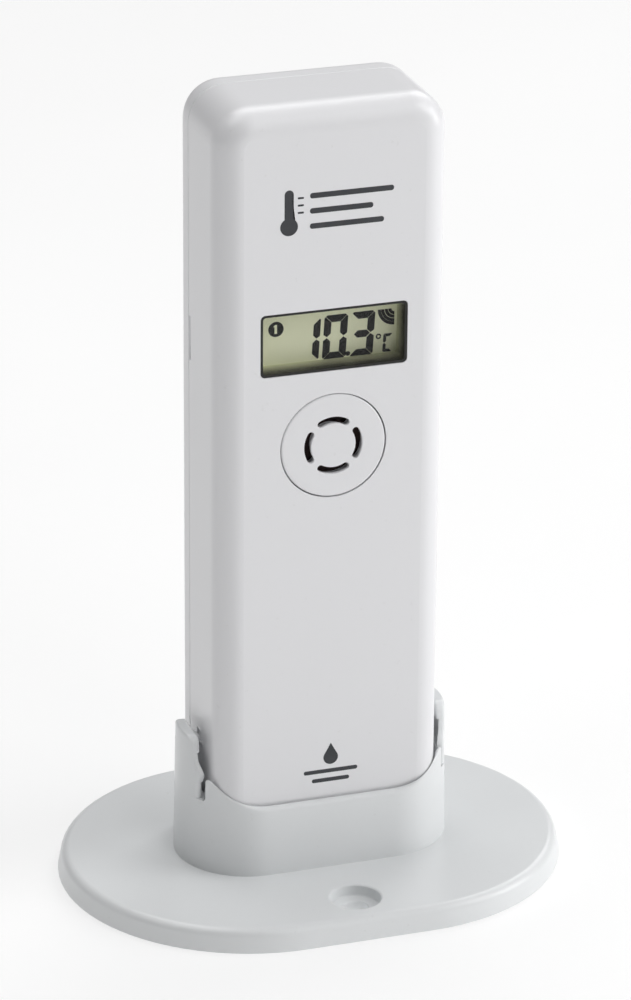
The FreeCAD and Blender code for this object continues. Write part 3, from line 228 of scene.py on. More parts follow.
FRAME_WALLS_PAINTED_LIGHT = make_frame_walls_painted_light()
BOARD = make_board()
SHIELD = make_simple("shield_tin", srgb(196, 198, 200), srgb(180, 182, 185), (0.25, 0.4), 0.9)
CAN = make_simple("capacitor_sleeve", srgb(34, 38, 52), srgb(26, 29, 42), (0.3, 0.45))
COPPER = make_simple("copper_wire", srgb(214, 138, 92), srgb(196, 118, 76), (0.25, 0.4), 1.0)
CELL = make_simple("cell_sleeve", srgb(64, 72, 84), srgb(52, 60, 72), (0.25, 0.4), 0.3)
PRINT = make_simple("printed_ink", srgb(58, 60, 64), srgb(48, 50, 54), (0.4, 0.55))
MARK = make_simple("sleeve_print", srgb(222, 222, 218), srgb(204, 204, 200), (0.3, 0.45))
NICKEL = make_simple("spring_nickel", srgb(206, 202, 192), srgb(188, 184, 174), (0.2, 0.35), 1.0)
STEEL = make_simple("screw_steel", srgb(186, 188, 192), srgb(160, 162, 166), (0.25, 0.4), 1.0)

NODE_MATERIALS = {
    "stand": STAND, "clip_arm_left": STAND, "clip_arm_right": STAND,
    "front_shell": CASE, "back_shell": CASE, "battery_cover": CASE, "vent_disc": CASE,
    "display_window": WINDOW, "display_frame": FRAME_WALLS_PAINTED_LIGHT, "display_glass": GLASS,
    "display_reflector": REFLECTOR, "contact_strip": RUBBER, "vent_membrane": MEMBRANE_AND_WARM_LIGHT,
    "sensor_gasket": RUBBER, "circuit_board": BOARD, "humidity_sensor": BLACK,
    "controller_chip": BLACK, "radio_module": SHIELD, "crystal": SHIELD, "capacitors": CAN,
    "antenna": COPPER, "button_switch": BLACK, "button": BUTTON, "battery_left": CELL,
    "battery_right": CELL, "battery_springs": NICKEL, "battery_contacts": NICKEL,
    "contact_bridge": NICKEL, "case_screws": STEEL, "board_screws": STEEL,
}
for node, material in NODE_MATERIALS.items():
    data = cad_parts[node].data
    data.materials.clear()
    data.materials.append(material)


# ---------------------------------------------------------------- mesh building

def arc_points(centre, radius, start, stop, steps):
    """Points on an arc in degrees, both ends included."""
    points = []
    for index in range(steps + 1):
        angle = math.radians(start + (stop - start) * index / steps)
        points.append((centre[0] + radius * math.cos(angle), centre[1] + radius * math.sin(angle)))
    return points


def rounded_rectangle(half_wide, half_tall, radius, steps=10, centre=(0, 0)):
    """Anticlockwise outline; radius is one number or four: right-low, right-high, left-high, left-low."""
    radii = radius if hasattr(radius, "__len__") else (radius,) * 4
    signs = ((1, -1, -90), (1, 1, 0), (-1, 1, 90), (-1, -1, 180))
    points = []
    for r, (sx, sy, start) in zip(radii, signs):
        middle = (centre[0] + sx * (half_wide - r), centre[1] + sy * (half_tall - r))
        points += arc_points(middle, r, start, start + 90, steps)
    return points


def stadium_outline(half_straight, radius, steps=40):
    """A rectangle in plan with fully rounded ends."""
    right = arc_points((half_straight, 0), radius, -90, 90, steps)
    left = arc_points((-half_straight, 0), radius, 90, 270, steps)
    return right + left


def circle_outline(radius, steps=48, centre=(0, 0)):
    """A circle in plan."""
    return arc_points(centre, radius, 0, 360 * (steps - 1) / steps, steps - 1)


def corner_blend(start, corner, stop, steps):
    """A quarter of an ellipse from start to stop that rounds off the corner."""
    points = []
    for index in range(steps + 1):
        angle = math.pi / 2 * index / steps
        points.append(tuple(
            c + (a - c) * (1 - math.sin(angle)) + (b - c) * (1 - math.cos(angle))
            for a, c, b in zip(start, corner, stop)))
    return points


class Shape:
    """A mesh in the making, in millimetres."""

    def __init__(self):
        self.bm = bmesh.new()

    def ring(self, points):
        return [self.bm.verts.new(point) for point in points]

    def bridge(self, first, second, closed=True):
        count = len(first)
        for index in range(count if closed else count - 1):
            after = (index + 1) % count
            self.bm.faces.new((first[index], first[after], second[after], second[index]))

    def loft(self, rings, caps=True, closed=True, around=False):
        """Skins rings of 3-D points; the rings run anticlockwise seen from the last one."""
        made = [self.ring(points) for points in rings]
        for first, second in zip(made, made[1:]):
            self.bridge(first, second, closed)
        if around:
            self.bridge(made[-1], made[0], closed)
        elif caps:
            self.bm.faces.new(list(reversed(made[0])))
            self.bm.faces.new(made[-1])
        return made

    def extrude(self, outline, low, high, round_low=0.0, round_high=0.0, to=None, steps=4):
        """A prism over a plan outline with its end edges rounded by moving the outline inwards."""
        to = to or (lambda x, y, z: (x, y, z))
        levels = []
        for index in range(steps + 1 if round_low else 1):
            angle = math.pi / 2 * index / steps
            levels.append((round_low * (1 - math.sin(angle)), low + round_low * (1 - math.cos(angle))))
        for index in range(steps + 1 if round_high else 1):
            angle = math.pi / 2 * index / steps
            levels.append((round_high * (1 - math.cos(angle)), high - round_high * (1 - math.sin(angle))))
        return self.loft([[to(x, y, z) for x, y in inset(outline, away)] for away, z in levels])

    def spin(self, profile, steps=48, to=None):
        """Turns a profile of (radius, height) about the height axis; its ends are closed."""
        to = to or (lambda x, y, z: (x, y, z))
        rings = []
        for radius, height in profile:
            rings.append([to(x, y, height) for x, y in circle_outline(radius, steps)])
        return self.loft(rings)

    def tube(self, path, radius, steps=10, ends=True):
        """A round bar along a path of 3-D points."""
        path = [Vector(point) for point in path]
        rings = []
        side = None
        for index, point in enumerate(path):
            ahead = path[min(index + 1, len(path) - 1)] - path[max(index - 1, 0)]
            ahead.normalize()
            if side is None:
                side = ahead.orthogonal().normalized()
            side = (side - ahead * side.dot(ahead)).normalized()
            other = ahead.cross(side)
            rings.append([point + radius * (math.cos(a) * side + math.sin(a) * other)
                          for a in (2 * math.pi * k / steps for k in range(steps))])
        return self.loft(rings, caps=ends)

    def make(self, name):
        bmesh.ops.remove_doubles(self.bm, verts=self.bm.verts, dist=0.0005)
        bmesh.ops.dissolve_degenerate(self.bm, edges=self.bm.edges, dist=0.0005)
        bmesh.ops.recalc_face_normals(self.bm, faces=self.bm.faces)
        bmesh.ops.scale(self.bm, vec=(MM, MM, MM), verts=self.bm.verts)
        mesh = bpy.data.meshes.new(name)
        self.bm.to_mesh(mesh)
        self.bm.free()
        thing = bpy.data.objects.new(name, mesh)
        scene.collection.objects.link(thing)
        return thing


def inset(outline, distance):
    """The outline moved inwards along its own normals."""
    if not distance:
        return list(outline)
    count = len(outline)
    moved = []
    for index in range(count):
        before = Vector(outline[index - 1])
        here = Vector(outline[index])
        after = Vector(outline[(index + 1) % count])
        first = (here - before)
        second = (after - here)
        if first.length < 1e-6:
            first = second
        if second.length < 1e-6:
            second = first
        first.normalize()
        second.normalize()
        normal = Vector((-(first.y + second.y), first.x + second.x))
        normal.normalize()
        stretch = 1 / max(0.5, normal.dot(Vector((-first.y, first.x))))
        moved.append(tuple(here + normal * distance * stretch))
    return moved


def evaluated_mesh(thing):
    """A new mesh of the thing with its modifiers applied."""
    graph = bpy.context.evaluated_depsgraph_get()
    graph.update()
    return bpy.data.meshes.new_from_object(thing.evaluated_get(graph))


def apply_modifiers(thing):
    """Makes the modifiers of the thing part of its mesh."""
    mesh = evaluated_mesh(thing)
    old = thing.data
    thing.modifiers.clear()
    thing.data = mesh
    bpy.data.meshes.remove(old)
    mesh.name = thing.name


def combine(thing, tool, operation="DIFFERENCE"):
    """Joins the tool to the thing, or cuts it away, and deletes the tool."""
    modifier = thing.modifiers.new("combine", "BOOLEAN")
    modifier.operation = operation
    modifier.solver = "EXACT"
    modifier.object = tool
    apply_modifiers(thing)
    bpy.data.objects.remove(tool)


def dress(thing, material, slot, body, *nodes, crease=32):
    """Smooth shading with creases, a material, a body and the nodes that the thing stands for; slot is not
    used.
    """
    mesh = thing.data
    bm = bmesh.new()
    bm.from_mesh(mesh)
    bmesh.ops.remove_doubles(bm, verts=bm.verts, dist=0.0000005)
    bmesh.ops.dissolve_degenerate(bm, edges=bm.edges, dist=0.0000005)
    bm.to_mesh(mesh)
    bm.free()
    mesh.shade_smooth()
    mesh.set_sharp_from_angle(angle=math.radians(crease))
    weighted = thing.modifiers.new("normals", "WEIGHTED_NORMAL")
    weighted.keep_sharp = True
    apply_modifiers(thing)
    if material:
        thing.data.materials.clear()
        thing.data.materials.append(material)
    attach(thing, body)
    if nodes:
        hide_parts(*nodes)
    return thing


# ---------------------------------------------------------------- stand

COLLAR_DRAFT = math.tan(math.radians(1))
PLATE_TOP = 3.9
GAP = 7.0
ARM_ROOT = 16.4
ARM_TOP = 26.8
INNER_HALF = (19.6, 10.85)
ROUND_STRAIGHT, ROUND_RADIUS = 11.0, 12.1
SQUARE_HALF, SQUARE_MIDDLE, SQUARE_CORNER = (21.1, 9.0), 3.35, 4.7
END_SIDE = 15
HALVINGS = 30


def collar_distance(x, y):
    """Signed distance to the outside of the socket in plan: round ends in front, squarer ones behind."""
    round_part = math.hypot(max(abs(x) - ROUND_STRAIGHT, 0), y) - ROUND_RADIUS
    over_x = abs(x) - (SQUARE_HALF[0] - SQUARE_CORNER)
    over_y = abs(y - SQUARE_MIDDLE) - (SQUARE_HALF[1] - SQUARE_CORNER)
    square_part = math.hypot(max(over_x, 0), max(over_y, 0)) + min(max(over_x, over_y), 0) - SQUARE_CORNER
    blend = 0.6
    share = max(blend - abs(round_part - square_part), 0) / blend
    return min(round_part, square_part) - share * share * blend / 4


def reach_outside(x, y, dx, dy, level=PLATE_TOP, far=12.0):
    """The point straight out from (x, y) along (dx, dy) on the socket's outside at that height."""
    drawn_in = (level - PLATE_TOP) * COLLAR_DRAFT
    near = 0.0
    for _ in range(HALVINGS):
        middle = (near + far) / 2
        if collar_distance(x + dx * middle, y + dy * middle) < -drawn_in:
            near = middle
        else:
            far = middle
    return x + dx * near, y + dy * near


def rim_line(x):
    """Height of the socket's rim: level in the middle, rising to the ends through an arc."""
    level, turn, radius = 15.95, 15.5, 12.0
    end, top = 26.0, 26.7
    slope = math.atan2(top - level, end - turn)
    tangent = radius * math.tan(slope / 2)
    x = abs(x)
    if x < turn - tangent:
        return level
    if x < turn + tangent * math.cos(slope):
        return level + radius - math.sqrt(radius ** 2 - (x - turn + tangent) ** 2)
    return level + (x - turn) * math.tan(slope)


def inner_path():
    """Points and outward normals around the inside of the socket, close together."""
    half_x, half_y = INNER_HALF
    front, back, spacing = 5.2, 3.2, 0.7
    stations = []
    corners = ((1, -1, -90, front), (1, 1, 0, back), (-1, 1, 90, back), (-1, -1, 180, front))
    for index, (sx, sy, start, radius) in enumerate(corners):
        middle = (sx * (half_x - radius), sy * (half_y - radius))
        for step in range(25):
            angle = math.radians(start + 90 * step / 24)
            normal = (math.cos(angle), math.sin(angle))
            stations.append(((middle[0] + radius * normal[0], middle[1] + radius * normal[1]), normal))
        after_x, after_y, _, after_radius = corners[(index + 1) % 4]
        angle = math.radians(start + 90)
        normal = (math.cos(angle), math.sin(angle))
        first = stations[-1][0]
        last = (after_x * (half_x - after_radius) + after_radius * normal[0],
                after_y * (half_y - after_radius) + after_radius * normal[1])
        steps = max(2, round(math.dist(first, last) / spacing))
        for step in range(1, steps):
            share = step / steps
            stations.append(((first[0] + (last[0] - first[0]) * share,
                              first[1] + (last[1] - first[1]) * share), normal))
    return stations


def between(first, second, share):
    """A station part of the way from one to the next."""
    point = tuple(a + (b - a) * share for a, b in zip(first[0], second[0]))
    normal = Vector(tuple(a + (b - a) * share for a, b in zip(first[1], second[1]))).normalized()
    return point, tuple(normal)


def collar_stations():
    """(inner point, normal, outer point, distance to the gap's edge, inside the gap) around the socket."""
    path = inner_path()
    count = len(path)

    def outer_of(station):
        return reach_outside(*station[0], *station[1])

    result = []
    for index in range(count):
        first, second = path[index], path[(index + 1) % count]
        low, high = outer_of(first), outer_of(second)
        result.append((first, low))
        if abs(low[0]) > END_SIDE and (abs(low[1]) - GAP) * (abs(high[1]) - GAP) < 0:
            near, far = 0.0, 1.0
            for _ in range(HALVINGS):
                middle = (near + far) / 2
                place = outer_of(between(first, second, middle))
                if (abs(place[1]) - GAP) * (abs(low[1]) - GAP) > 0:
                    near = middle
                else:
                    far = middle
            edge = between(first, second, (near + far) / 2)
            result += [(edge, outer_of(edge)), (edge, outer_of(edge))]
    stations = []
    edges = [i for i in range(len(result) - 1) if result[i][0] is result[i + 1][0]]
    for index, (station, outside) in enumerate(result):
        in_gap = abs(outside[0]) > END_SIDE and abs(outside[1]) < GAP - 1e-6
        if index in edges:
            in_gap = abs(result[index - 1][1][1]) < GAP
        elif index - 1 in edges:
            in_gap = abs(result[(index + 1) % len(result)][1][1]) < GAP
        away = min(math.dist(outside, result[edge][1]) for edge in edges)
        stations.append((station[0], station[1], outside, away, in_gap))
    return stations


def edge_drop(distance, radius):
    """How far a rounded edge falls below its corner at a distance from it."""
    if distance >= radius:
        return 0.0
    return radius - math.sqrt(max(radius ** 2 - (radius - distance) ** 2, 0))


def collar_section(inside, normal, outside, away, in_gap):
    """One cross-section of the socket's wall, from the outside at the bottom over the rim to the floor."""
    outer_round, inner_round = (0.02, 0.02) if in_gap else (0.8, 0.22)
    end_round, side_round = 1.6, 0.4
    top_out = ARM_ROOT if in_gap else rim_line(outside[0]) - edge_drop(away, end_round)
    top_in = ARM_ROOT if in_gap else rim_line(inside[0]) - edge_drop(away, end_round)
    dent = 0.0 if in_gap else edge_drop(away, side_round)

    def outer_at(z):
        drawn_in = (z - PLATE_TOP) * COLLAR_DRAFT + (dent if z > ARM_ROOT + 0.4 else 0)
        return (outside[0] - normal[0] * drawn_in, outside[1] - normal[1] * drawn_in, z)

    def inner_at(z):
        push = dent if z > ARM_ROOT + 0.4 else 0
        return (inside[0] + normal[0] * push, inside[1] + normal[1] * push, z)

    points = []
    shoulder = top_out - outer_round
    for level in (3.0, 5.5, 8.5, 11.5, 14.0, 15.2, ARM_ROOT, ARM_ROOT + 0.5):
        points.append(outer_at(min(level, shoulder)))
    for share in (0.25, 0.5, 0.75):
        base = min(ARM_ROOT + 0.5, shoulder)
        points.append(outer_at(base + (shoulder - base) * share))
    outer_corner = Vector(outer_at(top_out))
    inner_corner = Vector(inner_at(top_in))
    across = inner_corner - outer_corner
    wall = max(across.length, 1e-6)
    start = outer_at(shoulder)
    stop = outer_corner + across * min(outer_round / wall, 0.7)
    points += corner_blend(start, outer_corner, stop, 7)
    start = inner_corner - across * min(inner_round / wall, 0.25)
    stop = inner_at(top_in - inner_round)
    points += corner_blend(start, inner_corner, stop, 3)
    shoulder = top_in - inner_round
    for share in (0.75, 0.5, 0.25):
        base = min(ARM_ROOT + 0.5, shoulder)
        points.append(inner_at(base + (shoulder - base) * share))
    for level in (ARM_ROOT + 0.5, ARM_ROOT, 14.0, 10.0, 6.3):
        points.append(inner_at(min(level, shoulder)))
    return points


def make_collar():
    """The socket's wall, its sections skinned all round."""
    sections = [collar_section(*station) for station in collar_stations()]
    shape = Shape()
    rings = [shape.ring([section[k] for section in sections]) for k in range(len(sections[0]))]
    for first, second in zip(rings, rings[1:]):
        shape.bridge(first, second)
    shape.bm.faces.new(list(reversed(rings[0])))
    shape.bm.faces.new(rings[-1])
    return shape.make("collar")


def make_plate():
    """The stadium-shaped plate: hollow underneath, with a drafted side and a rounded top edge."""
    draft = math.tan(math.radians(12))
    half, radius = 10.7, 31.65
    round_in, round_down, steps = 1.6, 1.55, 8
    levels = [(2.4, 1.9), (2.4, 0.35), (2.45, 0.12), (2.6, 0.0), (0.25, 0.0), (0.05, 0.1), (0.06, 0.3)]
    shoulder = PLATE_TOP - round_down
    levels += [(draft * z, z) for z in (1.0, 1.8, shoulder)]
    for index in range(1, steps + 1):
        angle = math.pi / 2 * index / steps
        fall = round_in * (1 - math.cos(angle))
        levels.append((draft * shoulder + fall, shoulder + round_down * math.sin(angle)))
    levels += [(6.0, PLATE_TOP), (12.0, PLATE_TOP)]
    shape = Shape()
    shape.loft([[(x, y, z) for x, y in stadium_outline(half, radius - away)] for away, z in levels])
    return shape.make("plate")


def screw_cutter(y):
    """The space of one screw hole, with the edges of its sink rounded over."""
    profile = [(2.4, -1.0), (2.4, 0.0), (2.12, 0.3)]
    for radius, below in ((2.1, 2.1), (2.25, 1.92), (3.95, 1.9), (4.08, 1.75), (4.1, 0.35), (4.16, 0.15),
                          (4.32, 0.03), (4.6, -0.01), (4.6, -2.0)):
        profile.append((radius, PLATE_TOP - below))
    shape = Shape()
    shape.spin(profile, 64, lambda x, u, z: (x, u + y, z))
    return shape.make("cutter")


SCREW_PLACES = (-23.6, 23.6)


def make_stand():
    """The stand as one moulding: plate, bosses round the screw holes, socket."""
    stand = make_plate()
    for y in SCREW_PLACES:
        boss = Shape()
        boss.extrude(circle_outline(5.2, 48, (0, y)), 0.0, 3.0, 0.3, 0)
        combine(stand, boss.make("boss"), "UNION")
    combine(stand, make_collar(), "UNION")
    under = Shape()
    under.extrude(rounded_rectangle(17.6, 8.85, 5.2), -1.0, 4.2, 0, 0.6)
    combine(stand, under.make("under"))
    for y in SCREW_PLACES:
        combine(stand, screw_cutter(y))
    stand.name = "stand_moulding"
    dress(stand, STAND, "stand_plastic", "stand", "stand")


ARM_START = 12.0
ARM_INSIDE = 20.5
ARM_CORE = (19.2, 10.85)
ARM_WIDTHS = [(ARM_ROOT, 5.7), (19.2, 5.7), (19.7, 5.85), (20.3, 6.02), (20.8, 5.95), (21.3, 5.65),
              (22.1, 5.1), (22.8, 4.78), (23.6, 4.6), (25.0, 4.52), (25.6, 4.42), (26.1, 4.1), (26.5, 3.8),
              (ARM_TOP, 3.5)]


def arm_width(z):
    """Half width of an arm at a height."""
    for (low, first), (high, second) in zip(ARM_WIDTHS, ARM_WIDTHS[1:]):
        if z <= high:
            share = (z - low) / (high - low)
            return first + (second - first) * share
    return ARM_WIDTHS[-1][1]


def arm_section(z, thin):
    """A cross-section of the right clip arm; thin is 0 at the solid root and 1 at the thin wall."""
    fall = edge_drop(ARM_TOP - z, 0.7)
    half = arm_width(z) - fall
    core = ARM_CORE[1] - max(z - ARM_CORE[0], 0) * COLLAR_DRAFT

    def outside(y):
        return reach_outside(ARM_START, y, 1, 0, z)[0] - fall * 0.45

    def inside(y):
        curved = ROUND_STRAIGHT + math.sqrt(core ** 2 - y ** 2)
        return ARM_INSIDE + (curved - ARM_INSIDE) * thin + fall * 0.8

    wall = outside(0) - inside(0)
    outer = min(0.45, wall * 0.4)
    inner = min(0.3, wall * 0.3)
    steps = 8
    right = [(outside((half - outer) * index / steps), (half - outer) * index / steps)
             for index in range(steps + 1)]
    right += corner_blend(right[-1], (outside(half), half), (outside(half) - outer, half), 4)[1:]
    start = (inside(half) + inner, half)
    stop = (inside(half - inner), half - inner)
    right += corner_blend(start, (inside(half), half), stop, 3)
    right += [(inside((half - inner) * share), (half - inner) * share) for share in (0.75, 0.5, 0.25, 0.0)]
    left = [(x, -y) for x, y in reversed(right[1:-1])]
    return [(x, y, z) for x, y in right + left]


def make_clip_arm(side):
    """A springy arm, lofted upwards, with its barb; each level is a height and how thin the wall is."""
    levels = [(ARM_ROOT, 0), (17.5, 0), (18.4, 0), (19.0, 0), (19.13, 0.03), (19.2, 0.1), (19.2, 0.66),
              (19.26, 0.83), (19.4, 0.93), (19.6, 0.98), (19.9, 1)]
    levels += [(height, 1) for height in (20.3, 20.7, 21.1, 21.6, 22.1, 22.6, 23.1, 23.6)]
    levels += [(23.9, 0.97), (24.04, 0.88), (24.1, 0.7), (24.1, 0.1), (24.2, 0.0)]
    heights = (24.6, 25.1, 25.6, 25.9, 26.1, 26.25, 26.4, 26.52, 26.62, 26.7, 26.76, 26.79, ARM_TOP)
    levels += [(height, 0) for height in heights]
    shape = Shape()
    shape.loft([[(x * side, y, z) for x, y, z in arm_section(*level)] for level in levels])
    arm = shape.make("arm")
    root = 20.8
    wedge = [(root, 24.12), (19.4, 24.38), (19.29, 24.43), (19.25, 24.53), (19.25, 24.95), (19.28, 25.06),
             (19.35, 25.15), (root, 26.25)]
    barb = Shape()
    rings = []
    for y, shrink in ((-1.3, 0.35), (-1.2, 0.12), (-1.0, 0.0), (1.0, 0.0), (1.2, 0.12), (1.3, 0.35)):
        rings.append([(min(x + shrink, root) * side, y, z) for x, z in wedge])
    barb.loft(rings)
    combine(arm, barb.make("barb"), "UNION")
    name = "clip_arm_left" if side < 0 else "clip_arm_right"
    arm.name = name + "_moulding"
    dress(arm, STAND, "stand_plastic", name, name)


make_stand()
make_clip_arm(-1)
make_clip_arm(1)


# ---------------------------------------------------------------- display, vent and marks

def facing_front(x, y, z):
    """Plan outlines drawn as seen from the front; levels count forwards from the middle."""
    return (x, -z, y)


def facing_back(x, y, z):
    """Plan outlines in x and height; levels count backwards from the middle."""
    return (x, z, y)


def make_flat(name, outlines, low, high, material, slot, body, to=facing_front, edge=0.0):
    """One piece made of prisms over several outlines."""
    shape = Shape()
    for outline in outlines:
        shape.extrude(outline, low, high, 0.0, edge, to)
    return dress(shape.make(name), material, slot, body)


DIGIT_SEGMENTS = {"0": "abcdef", "1": "bc", "3": "abcdg", "C": "adef"}
SLANT = 0.06
FIGURES = [
    # figure, left, right, low, high, stroke
    ("1", -4.6, -1.3, 91.1, 98.3, 1.15),
    ("0", -0.72, 3.22, 91.0, 98.45, 1.2),
    ("3", 3.7, 7.75, 91.0, 98.5, 1.2),
    ("C", 9.4, 10.95, 91.2, 94.3, 0.5),
]


def digit_outlines(figure, left, right, low, high, stroke):
    """Mitred segments of one figure, leaning to the right."""
    mitre, gap, cut, half = stroke * 0.03, stroke * 0.07, stroke * 0.35, stroke * 0.5
    wide, tall = (right - left) * 0.5, (high - low) * 0.5
    near, far = wide - stroke, stroke - wide
    side, top = wide - cut * 0.5, tall - cut * 0.5
    bar = [(cut - wide, tall), (wide - cut, tall), (side - mitre, top),
           (near - mitre, tall - stroke), (far + mitre, tall - stroke), (mitre - side, top)]
    post = [(side, top - mitre), (wide, tall - cut), (wide, cut + gap), (wide - half, gap),
            (near, half + gap), (near, tall - stroke - mitre)]
    middle = [(half + gap - wide, 0), (far + gap, half), (near - gap, half),
              (wide - half - gap, 0), (near - gap, -half), (far + gap, -half)]
    segments = {"a": (bar, 1, 1), "b": (post, 1, 1), "c": (post, 1, -1), "d": (bar, 1, -1),
                "e": (post, -1, -1), "f": (post, -1, 1), "g": (middle, 1, 1)}
    outlines = []
    for segment in DIGIT_SEGMENTS[figure]:
        shape, across, up = segments[segment]
        upright = [(left + wide + x * across, low + tall + z * up) for x, z in shape]
        outlines.append([(x + (z - low) * SLANT, z) for x, z in upright])
    return outlines


def ring_sector(centre, inner, outer, start, stop, steps=16):
    """A part of a flat ring between two angles."""
    return arc_points(centre, outer, start, stop, steps) + arc_points(centre, inner, stop, start, steps)


def make_display():
    """The display panel with its figures, a point, a degree sign, a channel mark and signal arcs."""
    glass = Shape()
    glass.extrude(rounded_rectangle(12.78, 7.18, 0.3, 4, (0, 95.9)), 4.62, 6.5, 0.1, 0.1, facing_front)
    dress(glass.make("display_panel"), GLASS, "display", "transmitter", "display_glass")
    ink = []
    for figure, left, right, low, high, stroke in FIGURES:
        ink += digit_outlines(figure, left, right, low, high, stroke)
    ink.append(circle_outline(0.4, 20, (3.62, 91.65)))
    ink.append(circle_outline(1.27, 36, (-8.37, 97.09)))
    for radius in (0.75, 1.35, 1.95, 2.5):
        ink.append(ring_sector((11.35, 98.45), radius - 0.26, radius + 0.26, 180, 270))
    ink.append(ring_sector((8.74, 93.95), 0.22, 0.46, 0, 350, 24))
    make_flat("display_segments", ink, 6.45, 6.53, INK, "display", "transmitter")
    figure = [[(-8.62, 96.35), (-8.2, 96.35), (-8.2, 97.85), (-8.55, 97.85), (-8.8, 97.55), (-8.62, 97.45)]]
    make_flat("display_channel_figure", figure, 6.5, 6.545, GLASS, "display", "transmitter")


VENT_Z = 77.9


def make_vent():
    """The vent insert: a disc with a flange, and four curved slots with rounded ends."""
    profile = [(9.6, 8.1), (9.6, 8.7), (8.7, 8.7), (8.7, 10.2), (8.65, 10.36), (8.53, 10.46), (8.37, 10.5),
               (6.0, 10.5)]
    shape = Shape()
    shape.spin(profile, 96, lambda x, y, z: (x, -z, y + VENT_Z))
    disc = shape.make("vent_insert")
    mean, half, half_angle = 4.3, 0.55, 36.5
    reach = half_angle - math.degrees(half / mean)
    depths = [(0.5, 7.0), (0.5, 9.8), (0, 9.9), (0, 10.36), (0.03, 10.45), (0.13, 10.51), (0.13, 12.0)]
    for turn in (0, 90, 180, 270):
        outline = arc_points((0, 0), mean + half, turn - reach, turn + reach, 18)
        for end, first in ((turn + reach, turn + reach), (turn - reach, turn - reach + 180)):
            angle = math.radians(end)
            centre = (mean * math.cos(angle), mean * math.sin(angle))
            outline += arc_points(centre, half, first, first + 180, 10)[1:-1]
            if end > turn:
                outline += arc_points((0, 0), mean - half, turn + reach, turn - reach, 18)
        outline = [(x, z + VENT_Z) for x, z in outline]
        cutter = Shape()
        cutter.loft([[facing_front(x, z, level) for x, z in inset(outline, -wider)]
                     for wider, level in depths])
        combine(disc, cutter.make("cutter"))
    dress(disc, CASE, "case_plastic", "transmitter", "vent_disc")


def make_marks():
    """Generic pictograms in place of the printing: a thermometer with plain rules, and a drop."""
    stem = arc_points((-7.6, 120.7), 0.75, 0, 180, 10) + [(-8.35, 116.6)]
    stem += arc_points((-7.6, 115.4), 1.45, 121, 419, 24) + [(-6.85, 116.6)]
    bars = [rounded_rectangle(half, 0.45, 0.4, 4, (-4.2 + half, z))
            for half, z in ((6.9, 120.2), (5.2, 117.7), (6.1, 115.2))]
    scale = [rounded_rectangle(0.5, 0.16, 0.12, 3, (-5.7, z)) for z in (117.6, 118.8, 120.0)]
    drop = [(0, 25.6), (0.55, 24.55)] + arc_points((0, 23.0), 1.25, 30, -210, 22) + [(-0.55, 24.55)]
    rule = [rounded_rectangle(half, 0.35, 0.3, 4, (0, z)) for half, z in ((4.6, 20.6), (3.2, 19.0))]
    outlines = [stem, drop] + bars + scale + rule
    make_flat("front_marks", outlines, 10.46, 10.515, PRINT, "black_plastic", "transmitter")


# ---------------------------------------------------------------- back and inside

def copies(name, thing, places):
    """Several copies of a closed mesh as one object; the places are in millimetres."""
    bm = bmesh.new()
    for place in places:
        mesh = thing.data.copy()
        mesh.transform(Matrix.Translation(Vector(place) * MM))
        bm.from_mesh(mesh)
        bpy.data.meshes.remove(mesh)
    bpy.data.objects.remove(thing)
    mesh = bpy.data.meshes.new(name)
    bm.to_mesh(mesh)
    bm.free()
    joined = bpy.data.objects.new(name, mesh)
    scene.collection.objects.link(joined)
    return joined


HINGE_Y, HINGE_Z = 9.6, 18.4


def make_cover():
    """The battery cover: rounded edges, a ribbed finger grip, stiffeners and two hinge pins."""
    low, high, half, front, back = 17.6, 84.4, 15.4, 8.9, 10.5
    section = arc_points((front + 0.75, low + 0.75), 0.75, 180, 270, 8)
    section += arc_points((back - 0.75, low + 0.75), 0.75, 270, 360, 8)
    section += arc_points((back - 0.25, high - 0.25), 0.25, 0, 90, 4)
    section += arc_points((front + 0.25, high - 0.25), 0.25, 90, 180, 4)
    shape = Shape()
    shape.extrude(section, -half, half, 0.15, 0.15, lambda x, y, z: (z, x, y))
    cover = shape.make("battery_cover_moulding")
    turn = 1.2
    outline = arc_points((half - turn, high - turn), turn, 0, 90, 8)
    outline += arc_points((turn - half, high - turn), turn, 90, 180, 8)
    outline += [(-half - 1, high - turn), (-half - 1, low - 1), (half + 1, low - 1), (half + 1, high - turn)]
    corners = Shape()
    corners.extrude(outline, 8.0, 11.0, 0, 0, facing_back)
    combine(cover, corners.make("corners"), "INTERSECT")
    grip, middle = Shape(), 77.5
    grip.extrude([(x, z + middle) for x, z in stadium_outline(4.5, 4.0, 24)], 9.8, 11.0, 0.3, 0, facing_back)
    combine(cover, grip.make("grip"))
    for rise in (-2.0, 0.0, 2.0):
        rib = Shape()
        rib.extrude(rounded_rectangle(5.0, 0.35, 0.3, 4, (0, middle + rise)), 9.6, 10.4, 0, 0.25, facing_back)
        combine(cover, rib.make("rib"), "UNION")
    for x in (-9.0, 9.0):
        stiffener = Shape()
        stiffener.extrude(rounded_rectangle(0.5, 21.0, 0.4, 4, (x, 45.0)), 8.4, 9.2, 0.15, 0, facing_back)
        combine(cover, stiffener.make("stiffener"), "UNION")
    ends = [(0.5, -16.2), (0.6, -16.1), (0.6, 16.1), (0.5, 16.2)]
    pins = Shape()
    pins.spin(ends, 32, lambda x, y, z: (z, HINGE_Y + x, HINGE_Z + y))
    combine(cover, pins.make("pins"), "UNION")
    dress(cover, CASE, "case_plastic", "battery_cover", "battery_cover")


